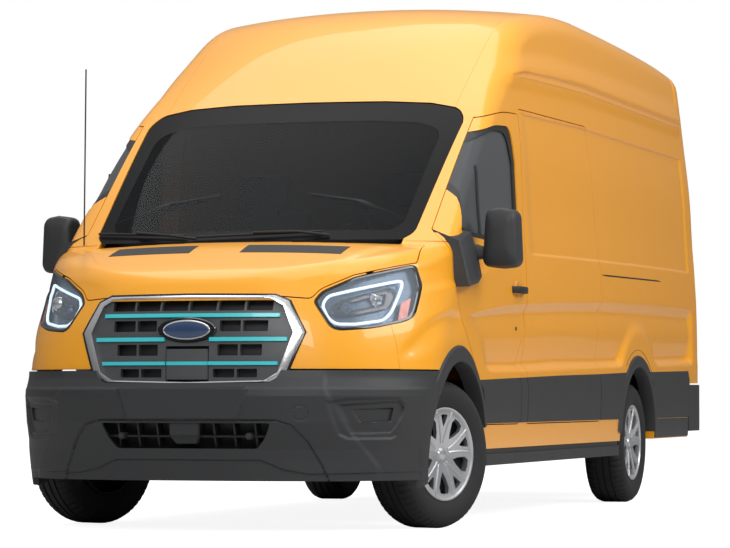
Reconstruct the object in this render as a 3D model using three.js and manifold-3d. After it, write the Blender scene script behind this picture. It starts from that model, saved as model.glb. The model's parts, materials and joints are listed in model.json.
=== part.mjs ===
// A high-roof, extended-length panel van with a battery under its floor.
// Millimetres, +Z up, the nose toward -Y and the driver's side toward +X.
// The origin is on the ground under the middle of the overall length.
import * as THREE from 'three';
import { mergeVertices } from 'three/addons/utils/BufferGeometryUtils.js';
import Module from 'manifold-3d';

const wasm = await Module();
wasm.setup();

// ---- Driving dimensions -------------------------------------------------
const LENGTH = 6704;
const HEIGHT = 2784;
const HALF_WIDTH = 1004;
const WHEELBASE = 3750;
const FRONT_OVERHANG = 1023;
const TRACK_FRONT = 1732;
const TRACK_REAR = 1743;
const AXLE_Z = 348;
const TYRE_WIDTH = 232;
const RIM_RADIUS = 212;
const HUB_REACH = 112;
const KINGPIN_INSET = 76;
const STEER_REST = 20.5;
const ARCH_RADIUS = 434;
const WALL = 68;
const ROOF_WALL = 42;
const GAP = 0.3;
const PANEL_GAP = 5;
const SILL_Z = 364;
const BUMPER_TOP_Z = 737;
const NOSE_BOTTOM_Z = 238;
const REAR_DOOR_HALF = 800;
const REAR_DOOR_BOTTOM = 700;
const REAR_BUMPER_TOP = 690;
const REAR_FACE_INSET = 52;
const LOAD_FLOOR_Z = 700;
const FLOOR_THICK = 48;
const CAB_FLOOR_Z = 640;
const BATTERY_WIDTH = 1180;
const BATTERY_HEIGHT = 240;
const GLASS = 6;

// ---- Places worked out from them ------------------------------------------
const Y_FRONT = -LENGTH / 2;
const Y_REAR = LENGTH / 2;
const FRONT_AXLE = Y_FRONT + FRONT_OVERHANG;
const REAR_AXLE = FRONT_AXLE + WHEELBASE;
const REAR_FACE = Y_REAR - REAR_FACE_INSET;
const TYRE_RADIUS = AXLE_Z;
const UPPER_START = 1400;
const DRAWN_HEIGHT = 2784;
const upperScale = (HEIGHT - UPPER_START) / (DRAWN_HEIGHT - UPPER_START);

// ---- Small helpers -----------------------------------------------------------
const clamp = (v, lo, hi) => Math.min(hi, Math.max(lo, v));

// A smooth curve through hand-set knots [t, value], level beyond its ends.
function curve(knots) {
  const slope = knots.map((_, i) => {
    const a = knots[Math.max(0, i - 1)];
    const b = knots[Math.min(knots.length - 1, i + 1)];
    return (b[1] - a[1]) / (b[0] - a[0]);
  });
  return (t) => {
    if (t <= knots[0][0]) return knots[0][1] + slope[0] * (t - knots[0][0]);
    let i = 0;
    while (i < knots.length - 2 && t > knots[i + 1][0]) i += 1;
    const h = knots[i + 1][0] - knots[i][0];
    const u = (t - knots[i][0]) / h;
    if (u > 1) return knots[i + 1][1] + slope[i + 1] * (t - knots[i + 1][0]);
    const a = (1 + 2 * u) * (1 - u) * (1 - u);
    const b = u * (1 - u) * (1 - u) * h;
    const c = u * u * (3 - 2 * u);
    const d = u * u * (u - 1) * h;
    return a * knots[i][1] + b * slope[i] + c * knots[i + 1][1] + d * slope[i + 1];
  };
}

// Heights above the waist stretch with the roof.
const high = (z) => (z > UPPER_START ? UPPER_START + (z - UPPER_START) * upperScale : z);
const low = (z) => (z > UPPER_START ? UPPER_START + (z - UPPER_START) / upperScale : z);
// Places along the body, measured from the front axle, that belong to its back.
const BODY_END = REAR_FACE - FRONT_AXLE;

function toSolid(geometry) {
  const plain = geometry.clone();
  plain.deleteAttribute('normal');
  plain.deleteAttribute('uv');
  const merged = mergeVertices(plain, 1e-3);
  const mesh = new wasm.Mesh({
    numProp: 3,
    vertProperties: new Float32Array(merged.attributes.position.array),
    triVerts: new Uint32Array(merged.index.array),
  });
  return new wasm.Manifold(mesh);
}

function toGeometry(solid) {
  const mesh = solid.getMesh();
  const geometry = new THREE.BufferGeometry();
  const position = new THREE.BufferAttribute(new Float32Array(mesh.vertProperties), 3);
  geometry.setAttribute('position', position);
  geometry.setIndex(new THREE.BufferAttribute(new Uint32Array(mesh.triVerts), 1));
  geometry.computeVertexNormals();
  return geometry;
}

// Corner points [a, b, radius] become a closed outline with rounded corners.
function outline(corners, steps = 3) {
  const points = [];
  corners.forEach((corner, i) => {
    const here = new THREE.Vector2(corner[0], corner[1]);
    const radius = corner[2] || 0;
    if (!radius) {
      points.push(here);
      return;
    }
    const before = corners[(i + corners.length - 1) % corners.length];
    const after = corners[(i + 1) % corners.length];
    const toBefore = new THREE.Vector2(before[0], before[1]).sub(here);
    const toAfter = new THREE.Vector2(after[0], after[1]).sub(here);
    const reach = Math.min(radius, toBefore.length() * 0.48, toAfter.length() * 0.48);
    const p = here.clone().addScaledVector(toBefore.normalize(), reach);
    const q = here.clone().addScaledVector(toAfter.normalize(), reach);
    for (let k = 0; k <= steps; k += 1) {
      const t = k / steps;
      points.push(new THREE.Vector2(
        (1 - t) * (1 - t) * p.x + 2 * t * (1 - t) * here.x + t * t * q.x,
        (1 - t) * (1 - t) * p.y + 2 * t * (1 - t) * here.y + t * t * q.y,
      ));
    }
  });
  return points;
}

const arc = (cy, cz, radius, from, to, steps) => {
  const points = [];
  for (let k = 0; k <= steps; k += 1) {
    const angle = THREE.MathUtils.degToRad(from + (to - from) * k / steps);
    points.push([cy + radius * Math.cos(angle), cz + radius * Math.sin(angle)]);
  }
  return points;
};

// Moves each side of an outline inward (or outward if negative) by a distance.
function inset(points, distance) {
  const n = points.length;
  let area = 0;
  points.forEach((p, i) => {
    const q = points[(i + 1) % n];
    area += p.x * q.y - q.x * p.y;
  });
  const turn = Math.sign(area);
  return points.map((p, i) => {
    const before = points[(i + n - 1) % n];
    const after = points[(i + 1) % n];
    const a = p.clone().sub(before).normalize();
    const b = after.clone().sub(p).normalize();
    const na = new THREE.Vector2(-a.y, a.x);
    const nb = new THREE.Vector2(-b.y, b.x);
    const bisector = na.add(nb);
    const scale = 2 / Math.max(0.5, bisector.lengthSq());
    return p.clone().addScaledVector(bisector, turn * distance * scale);
  });
}

function prism(points, from, to, place) {
  const shape = new THREE.Shape(points);
  const geometry = new THREE.ExtrudeGeometry(shape, { depth: to - from, bevelEnabled: false });
  geometry.translate(0, 0, from);
  geometry.applyMatrix4(place);
  return toSolid(geometry);
}

const basis = (x, y, z) => new THREE.Matrix4().makeBasis(
  new THREE.Vector3(...x), new THREE.Vector3(...y), new THREE.Vector3(...z));
// Outlines drawn in (y, z) run along x, in (x, y) along z, and in (x, z) along -y.
const ALONG_X = basis([0, 1, 0], [0, 0, 1], [1, 0, 0]);
const ALONG_Z = basis([1, 0, 0], [0, 1, 0], [0, 0, 1]);
const ALONG_Y = basis([1, 0, 0], [0, 0, 1], [0, -1, 0]);
const alongX = (points, from, to) => prism(points, from, to, ALONG_X);
const alongZ = (points, from, to) => prism(points, from, to, ALONG_Z);
const alongY = (points, from, to) => prism(points, -to, -from, ALONG_Y);

function block(x0, x1, y0, y1, z0, z1) {
  const geometry = new THREE.BoxGeometry(x1 - x0, y1 - y0, z1 - z0);
  geometry.translate((x0 + x1) / 2, (y0 + y1) / 2, (z0 + z1) / 2);
  return toSolid(geometry);
}

// A round piece: profile [radius, along] turned about the x axis.
function turned(profile, segments) {
  const points = profile.map(([r, a]) => new THREE.Vector2(r, a));
  const geometry = new THREE.LatheGeometry(points, segments);
  geometry.rotateZ(-Math.PI / 2);
  return toSolid(geometry);
}

function rod(from, to, radius, segments = 12) {
  const a = new THREE.Vector3(...from);
  const b = new THREE.Vector3(...to);
  const geometry = new THREE.CylinderGeometry(radius, radius, a.distanceTo(b), segments);
  const up = new THREE.Vector3(0, 1, 0);
  const turn = new THREE.Quaternion().setFromUnitVectors(up, b.clone().sub(a).normalize());
  geometry.applyQuaternion(turn);
  geometry.translate((a.x + b.x) / 2, (a.y + b.y) / 2, (a.z + b.z) / 2);
  return toSolid(geometry);
}

const mirrored = (points) => points.map(([x, ...rest]) => [-x, ...rest]).reverse();
const shifted = (corners) => corners.map(([s, z, r]) => [FRONT_AXLE + s, high(z), r]);

// ---- The outer surface of the body ---------------------------------------------
// Half-width of the side at each height, as an offset from HALF_WIDTH.
const sideOffset = curve([
  [236, -22], [400, -2], [760, 6], [1150, 2], [1400, -11], [1561, -23],
  [1885, -41], [2210, -78], [2450, -106], [2666, -136], [2784, -160],
]);
// The nose: how far forward each height reaches, from the front axle.
const noseTip = curve([[236, -925], [700, -958], [900, -951], [1000, -941], [1077, -921], [1200, -880]]);
const noseDepth = curve([[620, 700], [860, 740], [1060, 850], [1300, 900]]);
const nosePower = curve([[620, 2.8], [900, 2.5], [1060, 2.2], [1300, 2.2]]);
// The middle line of bonnet, windscreen, forehead and roof, from the front axle.
const bonnetLine = curve([
  [-1000, 985], [-921, 1066], [-900, 1086], [-862, 1142], [-800, 1184], [-600, 1262], [-462, 1308],
  [-350, 1332], [-225, 1350],
]);
const screenLine = curve([[-225, 1350], [250, 1722], [750, 2096]]);
const ROOF_PEAK = 3000;
const roofLine = curve([
  [750, 2096], [1150, 2405], [1400, 2562], [1600, 2640], [1850, 2693], [2200, 2738],
  [2600, 2770], [ROOF_PEAK, DRAWN_HEIGHT],
]);
const roofFall = curve([[0, 0], [1000, -6], [2000, -32], [2640, -70]]);

function topLine(s) {
  if (s < -225) return bonnetLine(s);
  if (s < 750) return high(screenLine(s));
  if (s < ROOF_PEAK) return high(roofLine(s));
  return HEIGHT + roofFall((s - ROOF_PEAK) * 2628 / (BODY_END - ROOF_PEAK));
}
// How far the windscreen and forehead sweep back toward the sides.
const sweep = curve([[-925, 0], [-462, 40], [-225, 110], [750, 55], [1300, 120], [2200, 60], [3000, 0]]);
const crown = curve([[-925, 10], [-462, 36], [-225, 20], [750, 20], [1500, 45], [2200, 58], [5700, 60]]);
const edgeRadius = curve([[-925, 40], [-600, 60], [-300, 75], [-100, 50], [700, 60], [1500, 95], [5700, 95]]);

function rounded(a, b, radius) {
  if (a < radius && b < radius) return radius - Math.hypot(radius - a, radius - b);
  return Math.min(a, b);
}

// About the distance inside the body's skin; walls are offsets for an inner skin.
function bodyField(x, y, z, wall = 0, roofWall = 0) {
  const s = y - FRONT_AXLE;
  const across = Math.abs(x);
  const half = HALF_WIDTH + sideOffset(low(z));
  const depth = noseDepth(clamp(z, 236, 1300));
  const power = nosePower(clamp(z, 236, 1300));
  const front = Math.max(0, 1 - (s - noseTip(clamp(z, 236, 1200))) / depth);
  const fill = Math.pow(across / half, power) + front * front;
  const gx = power * Math.pow(across / half, power - 1) / half;
  const gy = 2 * front / depth;
  const side = (1 - fill) / Math.max(0.0008, Math.hypot(gx, gy)) - wall;
  const ratio = across / (HALF_WIDTH - 140);
  const back = clamp(s, -925, 3000);
  const line = s - sweep(back) * Math.pow(ratio, 3);
  const steep = (topLine(line + 5) - topLine(line - 5)) / 10;
  const drop = crown(clamp(s, -925, 5700)) * ratio * ratio;
  const top = (topLine(line) - drop - z) / Math.hypot(1, steep) - roofWall;
  const rear = REAR_FACE - y - wall;
  const radius = Math.max(20, edgeRadius(clamp(s, -925, 5700)) - wall * 0.6);
  return rounded(rounded(side, rear, 220 - wall), top, radius);
}

// ---- A closed skin found along rays from the middle of the body -------------------
function solve(field, origin, direction, reach) {
  let lo = 0;
  let hi = reach;
  for (let k = 0; k < 34; k += 1) {
    const mid = (lo + hi) / 2;
    const inside = field(
      origin[0] + direction[0] * mid, origin[1] + direction[1] * mid, origin[2] + direction[2] * mid) > 0;
    if (inside) lo = mid;
    else hi = mid;
  }
  return origin.map((v, i) => v + direction[i] * lo);
}

const FRONT_FACE = 6;
const FRONT_CORNER = 4;
const SIDE_STEPS = 5;
const REAR_CORNER = 4;
const REAR_FACE_STEPS = 2;
const FAN = 620;

function halfRing(field, z) {
  const nose = solve(field, [0, 0, z], [0, -1, 0], LENGTH)[1] + FAN;
  const tail = REAR_FACE - 420;
  const rays = [];
  for (let i = 0; i <= FRONT_FACE; i += 1) rays.push([nose, HALF_WIDTH * i / FRONT_FACE, -FAN]);
  for (let i = 1; i < FRONT_CORNER; i += 1) rays.push([nose, HALF_WIDTH, -FAN * (1 - i / FRONT_CORNER)]);
  for (let i = 0; i <= SIDE_STEPS; i += 1) rays.push([nose + (tail - nose) * i / SIDE_STEPS, 1, 0]);
  for (let i = 1; i < REAR_CORNER; i += 1) rays.push([tail, 1000, 420 * i / REAR_CORNER]);
  for (let i = REAR_FACE_STEPS; i >= 0; i -= 1) rays.push([tail, 1000 * i / REAR_FACE_STEPS, 420]);
  return rays.map(([y, dx, dy]) => {
    const size = Math.hypot(dx, dy);
    return solve(field, [0, y, z], [dx / size, dy / size, 0], 2600);
  });
}

function fullRing(half) {
  const left = half.slice(1, -1).reverse().map(([x, y, z]) => [-x, y, z]);
  return [...half, ...left];
}

function skin(field, levels, shrink) {
  const rings = levels.map((z) => fullRing(halfRing(field, z)));
  const rim = rings[rings.length - 1];
  const nose = rim[0][1] + 500;
  const tail = REAR_FACE - 700;
  shrink.forEach((share) => {
    rings.push(rim.map(([x, y]) => {
      const spine = clamp(y, nose, tail);
      const px = x * share;
      const py = spine + (y - spine) * share;
      return solve(field, [px, py, levels[levels.length - 1] - 200], [0, 0, 1], 900);
    }));
  });
  const count = rim.length;
  const vertices = rings.flat(2);
  const faces = [];
  for (let j = 0; j < rings.length - 1; j += 1) {
    for (let i = 0; i < count; i += 1) {
      const a = j * count + i;
      const b = j * count + (i + 1) % count;
      faces.push(a, b, a + count, b, b + count, a + count);
    }
  }
  // The last ring closes across the middle line, the first one across the bottom.
  const halfCount = count / 2;
  const close = (base, up) => {
    for (let i = 0; i < halfCount; i += 1) {
      const a = base + i;
      const b = base + i + 1;
      const c = base + (count - i) % count;
      const d = base + count - i - 1;
      if (i > 0) faces.push(...(up ? [a, b, c] : [a, c, b]));
      if (i < halfCount - 1) faces.push(...(up ? [b, d, c] : [b, c, d]));
    }
  };
  close((rings.length - 1) * count, true);
  close(0, false);
  const geometry = new THREE.BufferGeometry();
  geometry.setAttribute('position', new THREE.BufferAttribute(new Float32Array(vertices), 3));
  geometry.setIndex(faces);
  return toSolid(geometry);
}

const noseLevels = [560, 740, 880, 1000, 1060, 1100, 1160, 1225, 1280, 1320, 1349, 1385];
const cabLevels = [1560, 1800, 2000, 2110, 2220, 2320, 2420, 2500, 2550].map(high);
const outer = skin((x, y, z) => bodyField(x, y, z), [SILL_Z, ...noseLevels, ...cabLevels],
  [0.985, 0.955, 0.86, 0.5, 0.12]);
const inner = skin((x, y, z) => bodyField(x, y, z, WALL, ROOF_WALL),
  [SILL_Z - 60, 740, 960, 1060, 1180, 1295, 1330, 1500, 1850, 2080, 2250, 2420, 2520].map(high),
  [0.97, 0.92, 0.5]);
const shell = outer.subtract(inner);


// ---- Outlines where the panels meet, drawn in the side view -----------------------
// Each corner is [behind the front axle, height, corner radius].
const ARCH_SHIFT = -50;
const DOOR_ARC = 530;
const doorCorners = [
  [-60, 1352, 30], [-66, 1140, 60], [24, 1004, 60], [150, 880, 60],
  ...arc(ARCH_SHIFT, 345, DOOR_ARC, 50, 15, 3),
  [1085, 480, 60], [1085, 800, 80], [1236, 960, 80], [1246, 1500, 0], [1300, 2064, 50],
  [900, 2048, 120], [560, 1950, 80], [60, 1452, 60],
];
const doorLine = outline(shifted(doorCorners));
const windowLine = outline(shifted([
  [92, 1402, 20], [300, 1384, 0], [1160, 1366, 30], [1232, 1992, 60], [900, 1976, 90], [600, 1886, 60],
]));
const cargoPanelLine = outline(shifted([
  [1220, 480, 30], [1220, 900, 0], [1246, 960, 60], [1256, 1500, 0], [1310, 2092, 40],
  [2790, 2120, 60], [2790, 480, 30],
]));
const fenderLine = outline(shifted([
  [-1300, 200, 0], [448, 200, 0], [470, 478, 0], [300, 900, 0], [0, 1348, 0],
  [-128, 1348, 20], [-150, 1700, 0], [-1300, 1700, 0],
]));
// The windscreen opening, drawn in the front view from the middle to the left.
const SCREEN_BASE = 1358;
const screenHalf = [
  [0, 2100, 0], [400, 2096, 0], [640, 2082, 0], [790, 2052, 40], [836, 1990, 30], [806, 1392, 30],
  [760, SCREEN_BASE, 0],
];
const tall = (corners) => corners.map(([x, z, r]) => [x, high(z), r]);
const fullWidth = (half) => {
  const meets = half[0][0] === 0 ? -1 : undefined;
  return outline([...tall(half), ...mirrored(tall(half)).slice(0, meets)]);
};
const windscreenLine = fullWidth(screenHalf);
// Where the bonnet ends in the front view, and the hexagon of the grille.
const NOSE_SEAM = 1077;
const bonnetHalf = [
  [0, 1900, 0], [925, 1900, 0], [925, 1252, 0], [905, 1234, 0], [700, 1170, 0], [577, 1104, 30],
  [547, 1060, 20], [416, 1070, 0], [0, NOSE_SEAM + 6, 0],
];
const bonnetFront = outline([...bonnetHalf.slice(1), ...mirrored(bonnetHalf).slice(1)]);
const grilleHalf = [[420, 1052, 40], [528, 904, 30], [426, 692, 40]];
const grilleLine = outline([...grilleHalf, ...mirrored(grilleHalf)]);
const lampHalf = [
  [557, 1046, 15], [583, 1092, 20], [704, 1160, 0], [904, 1226, 20], [936, 1120, 40],
  [930, 968, 40], [800, 926, 40], [648, 914, 40],
];
const FLAP_HALF = 101;
const FLAP_LOW = 694;
const FLAP_HIGH = 834;

const bonnetRearEdge = [];
for (let x = 860; x >= -860; x -= 215) {
  bonnetRearEdge.push([x, FRONT_AXLE - 256 + 108 * Math.pow(Math.abs(x) / 864, 3)]);
}
const bonnetPlan = outline([
  [-906, FRONT_AXLE - 1200], [906, FRONT_AXLE - 1200], [906, FRONT_AXLE - 330], [884, FRONT_AXLE - 158],
  ...bonnetRearEdge, [-884, FRONT_AXLE - 158], [-906, FRONT_AXLE - 330],
]);

const FAR = 1600;
const both = [1, -1];
const sideName = (side) => (side > 0 ? 'left' : 'right');
const sideSpan = (side, a, b) => (side > 0 ? [a, b] : [-b, -a]);
const onSide = (side, points, grow, from = 300, to = FAR) => (
  alongX(inset(points, -grow), ...sideSpan(side, from, to))
);
const HALF_GAP = PANEL_GAP / 2;

// ---- Body panels -------------------------------------------------------------------
const screenHole = (grow) => alongY(inset(windscreenLine, -grow), FRONT_AXLE - 235, FRONT_AXLE + 1400);
const bonnetZone = (grow) => alongY(inset(bonnetFront, -grow), Y_FRONT - 50, FRONT_AXLE + 100)
  .intersect(alongZ(inset(bonnetPlan, -grow), 900, 1700));
const RAIL_X = HALF_WIDTH - 236;
// The windscreen pillar's outboard face, behind the door frame.
const PILLAR_X = HALF_WIDTH - 128;
const ROOF_FRONT_Z = high(2060);
const DOOR_HEAD = high(2566);
const rearDoorZone = (grow) => block(-REAR_DOOR_HALF - grow, REAR_DOOR_HALF + grow,
  REAR_FACE - WALL - 40, REAR_FACE + 60, REAR_DOOR_BOTTOM - grow, DOOR_HEAD + grow);
const noseZone = block(-FAR, FAR, Y_FRONT - 100, FRONT_AXLE + 80, 100, BUMPER_TOP_Z);

const wheelArch = (axle, shift) => {
  const geometry = new THREE.CylinderGeometry(ARCH_RADIUS, ARCH_RADIUS, 2 * FAR, 40);
  geometry.rotateZ(Math.PI / 2);
  geometry.translate(0, axle + shift, AXLE_Z);
  return toSolid(geometry);
};
const frontArch = wheelArch(FRONT_AXLE, 0);
const rearArch = wheelArch(REAR_AXLE, 0);
const FRONT_PANEL_BACK = 610;
const FRONT_PANEL_HALF = 965;
const frontPanelZone = (grow) => block(-FRONT_PANEL_HALF - grow, FRONT_PANEL_HALF + grow,
  Y_FRONT - 50, FRONT_AXLE - FRONT_PANEL_BACK + grow, 600, 1300);
const lampZone = (side, grow) => {
  const points = side > 0 ? outline(lampHalf) : outline(mirrored(lampHalf));
  return alongY(inset(points, -grow), Y_FRONT - 50, FRONT_AXLE - 200);
};
const LIGHT_LOW = 950;
const LIGHT_HIGH = 1440;
const rearLightZone = (side, grow) => {
  const [a, b] = sideSpan(side, 834 - grow, 1100);
  return block(a, b, REAR_FACE - 128 - grow, REAR_FACE + 50, LIGHT_LOW - grow, LIGHT_HIGH + grow);
};

const solids = {};
const paint = { color: 0xf7a823, roughness: 0.25, metalness: 0.0 };
const black = { color: 0x2c2d2f, roughness: 0.7, metalness: 0.0 };
const steel = { color: 0x55585c, roughness: 0.6, metalness: 0.6 };
const looks = {};
const add = (name, solid, look) => {
  solids[name] = solid;
  looks[name] = look;
};

const REAR_BUMPER_FRONT = BODY_END - 478;
const rearLow = block(-FAR, FAR, FRONT_AXLE + REAR_BUMPER_FRONT, Y_REAR + 100, 100, REAR_DOOR_BOTTOM);
const sides = shell.subtract(bonnetZone(HALF_GAP)).subtract(screenHole(3)).subtract(rearDoorZone(HALF_GAP))
  .subtract(noseZone).subtract(frontArch).subtract(rearArch).subtract(rearLow);
const roofSpan = block(-RAIL_X, RAIL_X, FRONT_AXLE, Y_REAR + 100, ROOF_FRONT_Z, HEIGHT + 100);
const roof = shell.intersect(roofSpan).subtract(screenHole(3)).subtract(rearDoorZone(HALF_GAP));
add('roof', roof, paint);

both.forEach((side) => {
  const name = sideName(side);
  const [a, b] = sideSpan(side, RAIL_X + 1, FAR);
  const half = sides.intersect(block(a, b, Y_FRONT - 100, Y_REAR + 100, 100, HEIGHT + 100));
  const fenderArea = onSide(side, fenderLine, 0);
  const doorHole = onSide(side, doorLine, HALF_GAP, PILLAR_X);
  const fender = half.intersect(fenderArea).subtract(doorHole)
    .subtract(frontPanelZone(HALF_GAP)).subtract(lampZone(side, 2));
  add(`front_fender_${name}`, fender, paint);
  const frame = half.subtract(onSide(side, fenderLine, GAP + 1.2)).subtract(doorHole)
    .subtract(onSide(side, cargoPanelLine, HALF_GAP)).subtract(rearLightZone(side, 1));
  add(`body_side_${name}`, frame, paint);
  const panelName = side > 0 ? 'cargo_side_panel_left' : 'sliding_door_right';
  add(panelName, shell.intersect(onSide(side, cargoPanelLine, -HALF_GAP)), paint);
  const door = shell.intersect(onSide(side, doorLine, -HALF_GAP, PILLAR_X + 4))
    .subtract(onSide(side, windowLine, 0));
  add(`front_door_${name}`, door, paint);
  const pane = outer.translate([-3 * side, 0, 0]).subtract(outer.translate([-(3 + GLASS) * side, 0, 0]))
    .intersect(onSide(side, windowLine, -GAP));
  add(`door_glass_${name}`, pane, { color: 0x30363a, roughness: 0.05, metalness: 0 });
  add(`headlight_${name}`, shell.intersect(lampZone(side, 0)).subtract(bonnetZone(HALF_GAP)),
    { color: 0xd8e4ee, roughness: 0.1, metalness: 0 });
  add(`taillight_${name}`, shell.intersect(rearLightZone(side, 0)),
    { color: 0xb01818, roughness: 0.2, metalness: 0 });
  const [c, d] = sideSpan(side, 5, REAR_DOOR_HALF - HALF_GAP);
  const rearDoor = shell.intersect(block(c, d, REAR_FACE - WALL - 30, REAR_FACE + 50,
    REAR_DOOR_BOTTOM + HALF_GAP, DOOR_HEAD - HALF_GAP));
  add(`rear_door_${name}`, rearDoor, paint);
});

// The door pillar stands inside the side, where the door meets the load space.
both.forEach((k) => {
  const [a, b] = sideSpan(k, 600, FAR);
  const pillar = inner.translate([-0.6 * k, 0, 0]).subtract(inner.translate([-44 * k, 0, 0]))
    .intersect(block(a, b, FRONT_AXLE + 1190, FRONT_AXLE + 1350, LOAD_FLOOR_Z + GAP, high(2240)));
  add(`door_pillar_${sideName(k)}`, pillar, paint);
});

add('bonnet', shell.intersect(bonnetZone(-HALF_GAP)), paint);
const screen = outer.translate([0, 4, -3]).subtract(outer.translate([0, 4 + GLASS, -3 - GLASS]))
  .intersect(screenHole(0))
  .intersect(block(-FAR, FAR, FRONT_AXLE - 260, FRONT_AXLE + 1000, SCREEN_BASE + 2, high(2130)));
add('windshield', screen, { color: 0x30363a, roughness: 0.05, metalness: 0 });

const face = shell.intersect(frontPanelZone(0)).subtract(bonnetZone(HALF_GAP))
  .subtract(lampZone(1, 2)).subtract(lampZone(-1, 2))
  .intersect(block(-FAR, FAR, Y_FRONT - 50, FRONT_AXLE, BUMPER_TOP_Z + 1, 1300))
  .subtract(alongY(inset(grilleLine, -1), Y_FRONT - 50, FRONT_AXLE - 500));
add('front_panel', face, paint);

const COWL_HALF = HALF_WIDTH - 3 * WALL;
const scuttle = inner.translate([0, 0, -9]).intersect(
  block(-COWL_HALF, COWL_HALF, FRONT_AXLE - 240, FRONT_AXLE - 60, 1215, 1400));
add('cowl', scuttle, black);

// ---- Bumpers ---------------------------------------------------------------------------
const bumperTip = curve([
  [236, -950], [380, -965], [500, -1003], [620, -1023], [660, -1016], [700, -986], [740, -968],
]);
const BUMPER_WALL = 64;
const bumperSteps = 9;
// Half the bumper's plan outline at one height, from the middle round to the arch.
function bumperRing(z, wall) {
  const half = HALF_WIDTH + 10 - wall;
  const ring = [];
  for (let i = 0; i <= bumperSteps; i += 1) {
    const angle = (Math.PI / 2) * i / bumperSteps;
    const x = half * Math.pow(Math.sin(angle), 2 / 2.8);
    const s = bumperTip(z) + wall + (700 - wall) * (1 - Math.cos(angle));
    ring.push([x, FRONT_AXLE + s, z]);
  }
  ring.push([half, FRONT_AXLE - 100, z]);
  return ring;
}

function bumperBody(levels, wall) {
  const rings = levels.map((z) => bumperLoop(bumperRing(z, wall)));
  const count = rings[0].length;
  const faces = [];
  for (let j = 0; j < rings.length - 1; j += 1) {
    for (let i = 0; i < count; i += 1) {
      const a = j * count + i;
      const b = j * count + (i + 1) % count;
      faces.push(a, b, a + count, b, b + count, a + count);
    }
  }
  const top = (rings.length - 1) * count;
  for (let i = 1; i < count - 1; i += 1) {
    faces.push(top, top + i, top + i + 1);
    faces.push(0, i + 1, i);
  }
  const geometry = new THREE.BufferGeometry();
  geometry.setAttribute('position', new THREE.BufferAttribute(new Float32Array(rings.flat(2)), 3));
  geometry.setIndex(faces);
  return toSolid(geometry);
}

// The ring from the right-hand end round the nose to the left-hand end.
function bumperLoop(half) {
  return [...half.slice(1).reverse().map(([x, y, z]) => [-x, y, z]), ...half];
}

const intake = [[0, 508, 0], [440, 508, 30], [395, 384, 20], [0, 384, 0]];
const intakeLine = outline([...intake, ...mirrored(intake).slice(1, -1)]);
const PLATE_LOW = 520;
const PLATE_HIGH = 645;
const bumper = bumperBody([NOSE_BOTTOM_Z, 380, 500, 600, 660, 700, BUMPER_TOP_Z - GAP], 0)
  .subtract(bumperBody([NOSE_BOTTOM_Z - 60, 380, 500, 620, BUMPER_TOP_Z + 40], BUMPER_WALL))
  .subtract(frontArch)
  .subtract(alongY(inset(grilleLine, -3), Y_FRONT - 50, FRONT_AXLE - 500))
  .subtract(alongY(intakeLine, Y_FRONT - 50, FRONT_AXLE - 500));
const platePad = block(-262, 262, Y_FRONT, Y_FRONT + 60, PLATE_LOW, PLATE_HIGH);
add('front_bumper', bumper.add(platePad), black);

const REAR_CORNER_RADIUS = 250;
const rearBumperPlan = (wall) => {
  const half = HALF_WIDTH + 10 - wall;
  const back = Y_REAR - wall;
  const front = FRONT_AXLE + REAR_BUMPER_FRONT + 3 - (wall ? 20 : 0);
  const corners = [
    [half, front], [half, back, REAR_CORNER_RADIUS], [-half, back, REAR_CORNER_RADIUS], [-half, front],
  ];
  return outline(corners, 7);
};
const REAR_BUMPER_LOW = 400;
add('rear_bumper', alongZ(rearBumperPlan(0), REAR_BUMPER_LOW, REAR_BUMPER_TOP)
  .subtract(alongZ(rearBumperPlan(62), REAR_BUMPER_LOW - 10, REAR_BUMPER_TOP - 60))
  .subtract(block(-HALF_WIDTH + 66, HALF_WIDTH - 66, Y_REAR - 900, FRONT_AXLE + BODY_END - WALL - 40,
    0, REAR_BUMPER_TOP + 10)), black);

// ---- Grille and charge flap ----------------------------------------------------------------
const FLAP_GAP = 3;
const flapHole = block(-FLAP_HALF - FLAP_GAP, FLAP_HALF + FLAP_GAP, Y_FRONT - 50, FRONT_AXLE - 900,
  FLAP_LOW - 14, FLAP_HIGH + FLAP_GAP);
add('grille', shell.intersect(alongY(grilleLine, Y_FRONT - 50, FRONT_AXLE - 500))
  .subtract(bonnetZone(HALF_GAP))
  .subtract(flapHole), black);
const FLAP_Y = FRONT_AXLE - 948;
add('charge_flap', block(-FLAP_HALF, FLAP_HALF, FLAP_Y, FLAP_Y + 22, FLAP_LOW, FLAP_HIGH), black);

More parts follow.
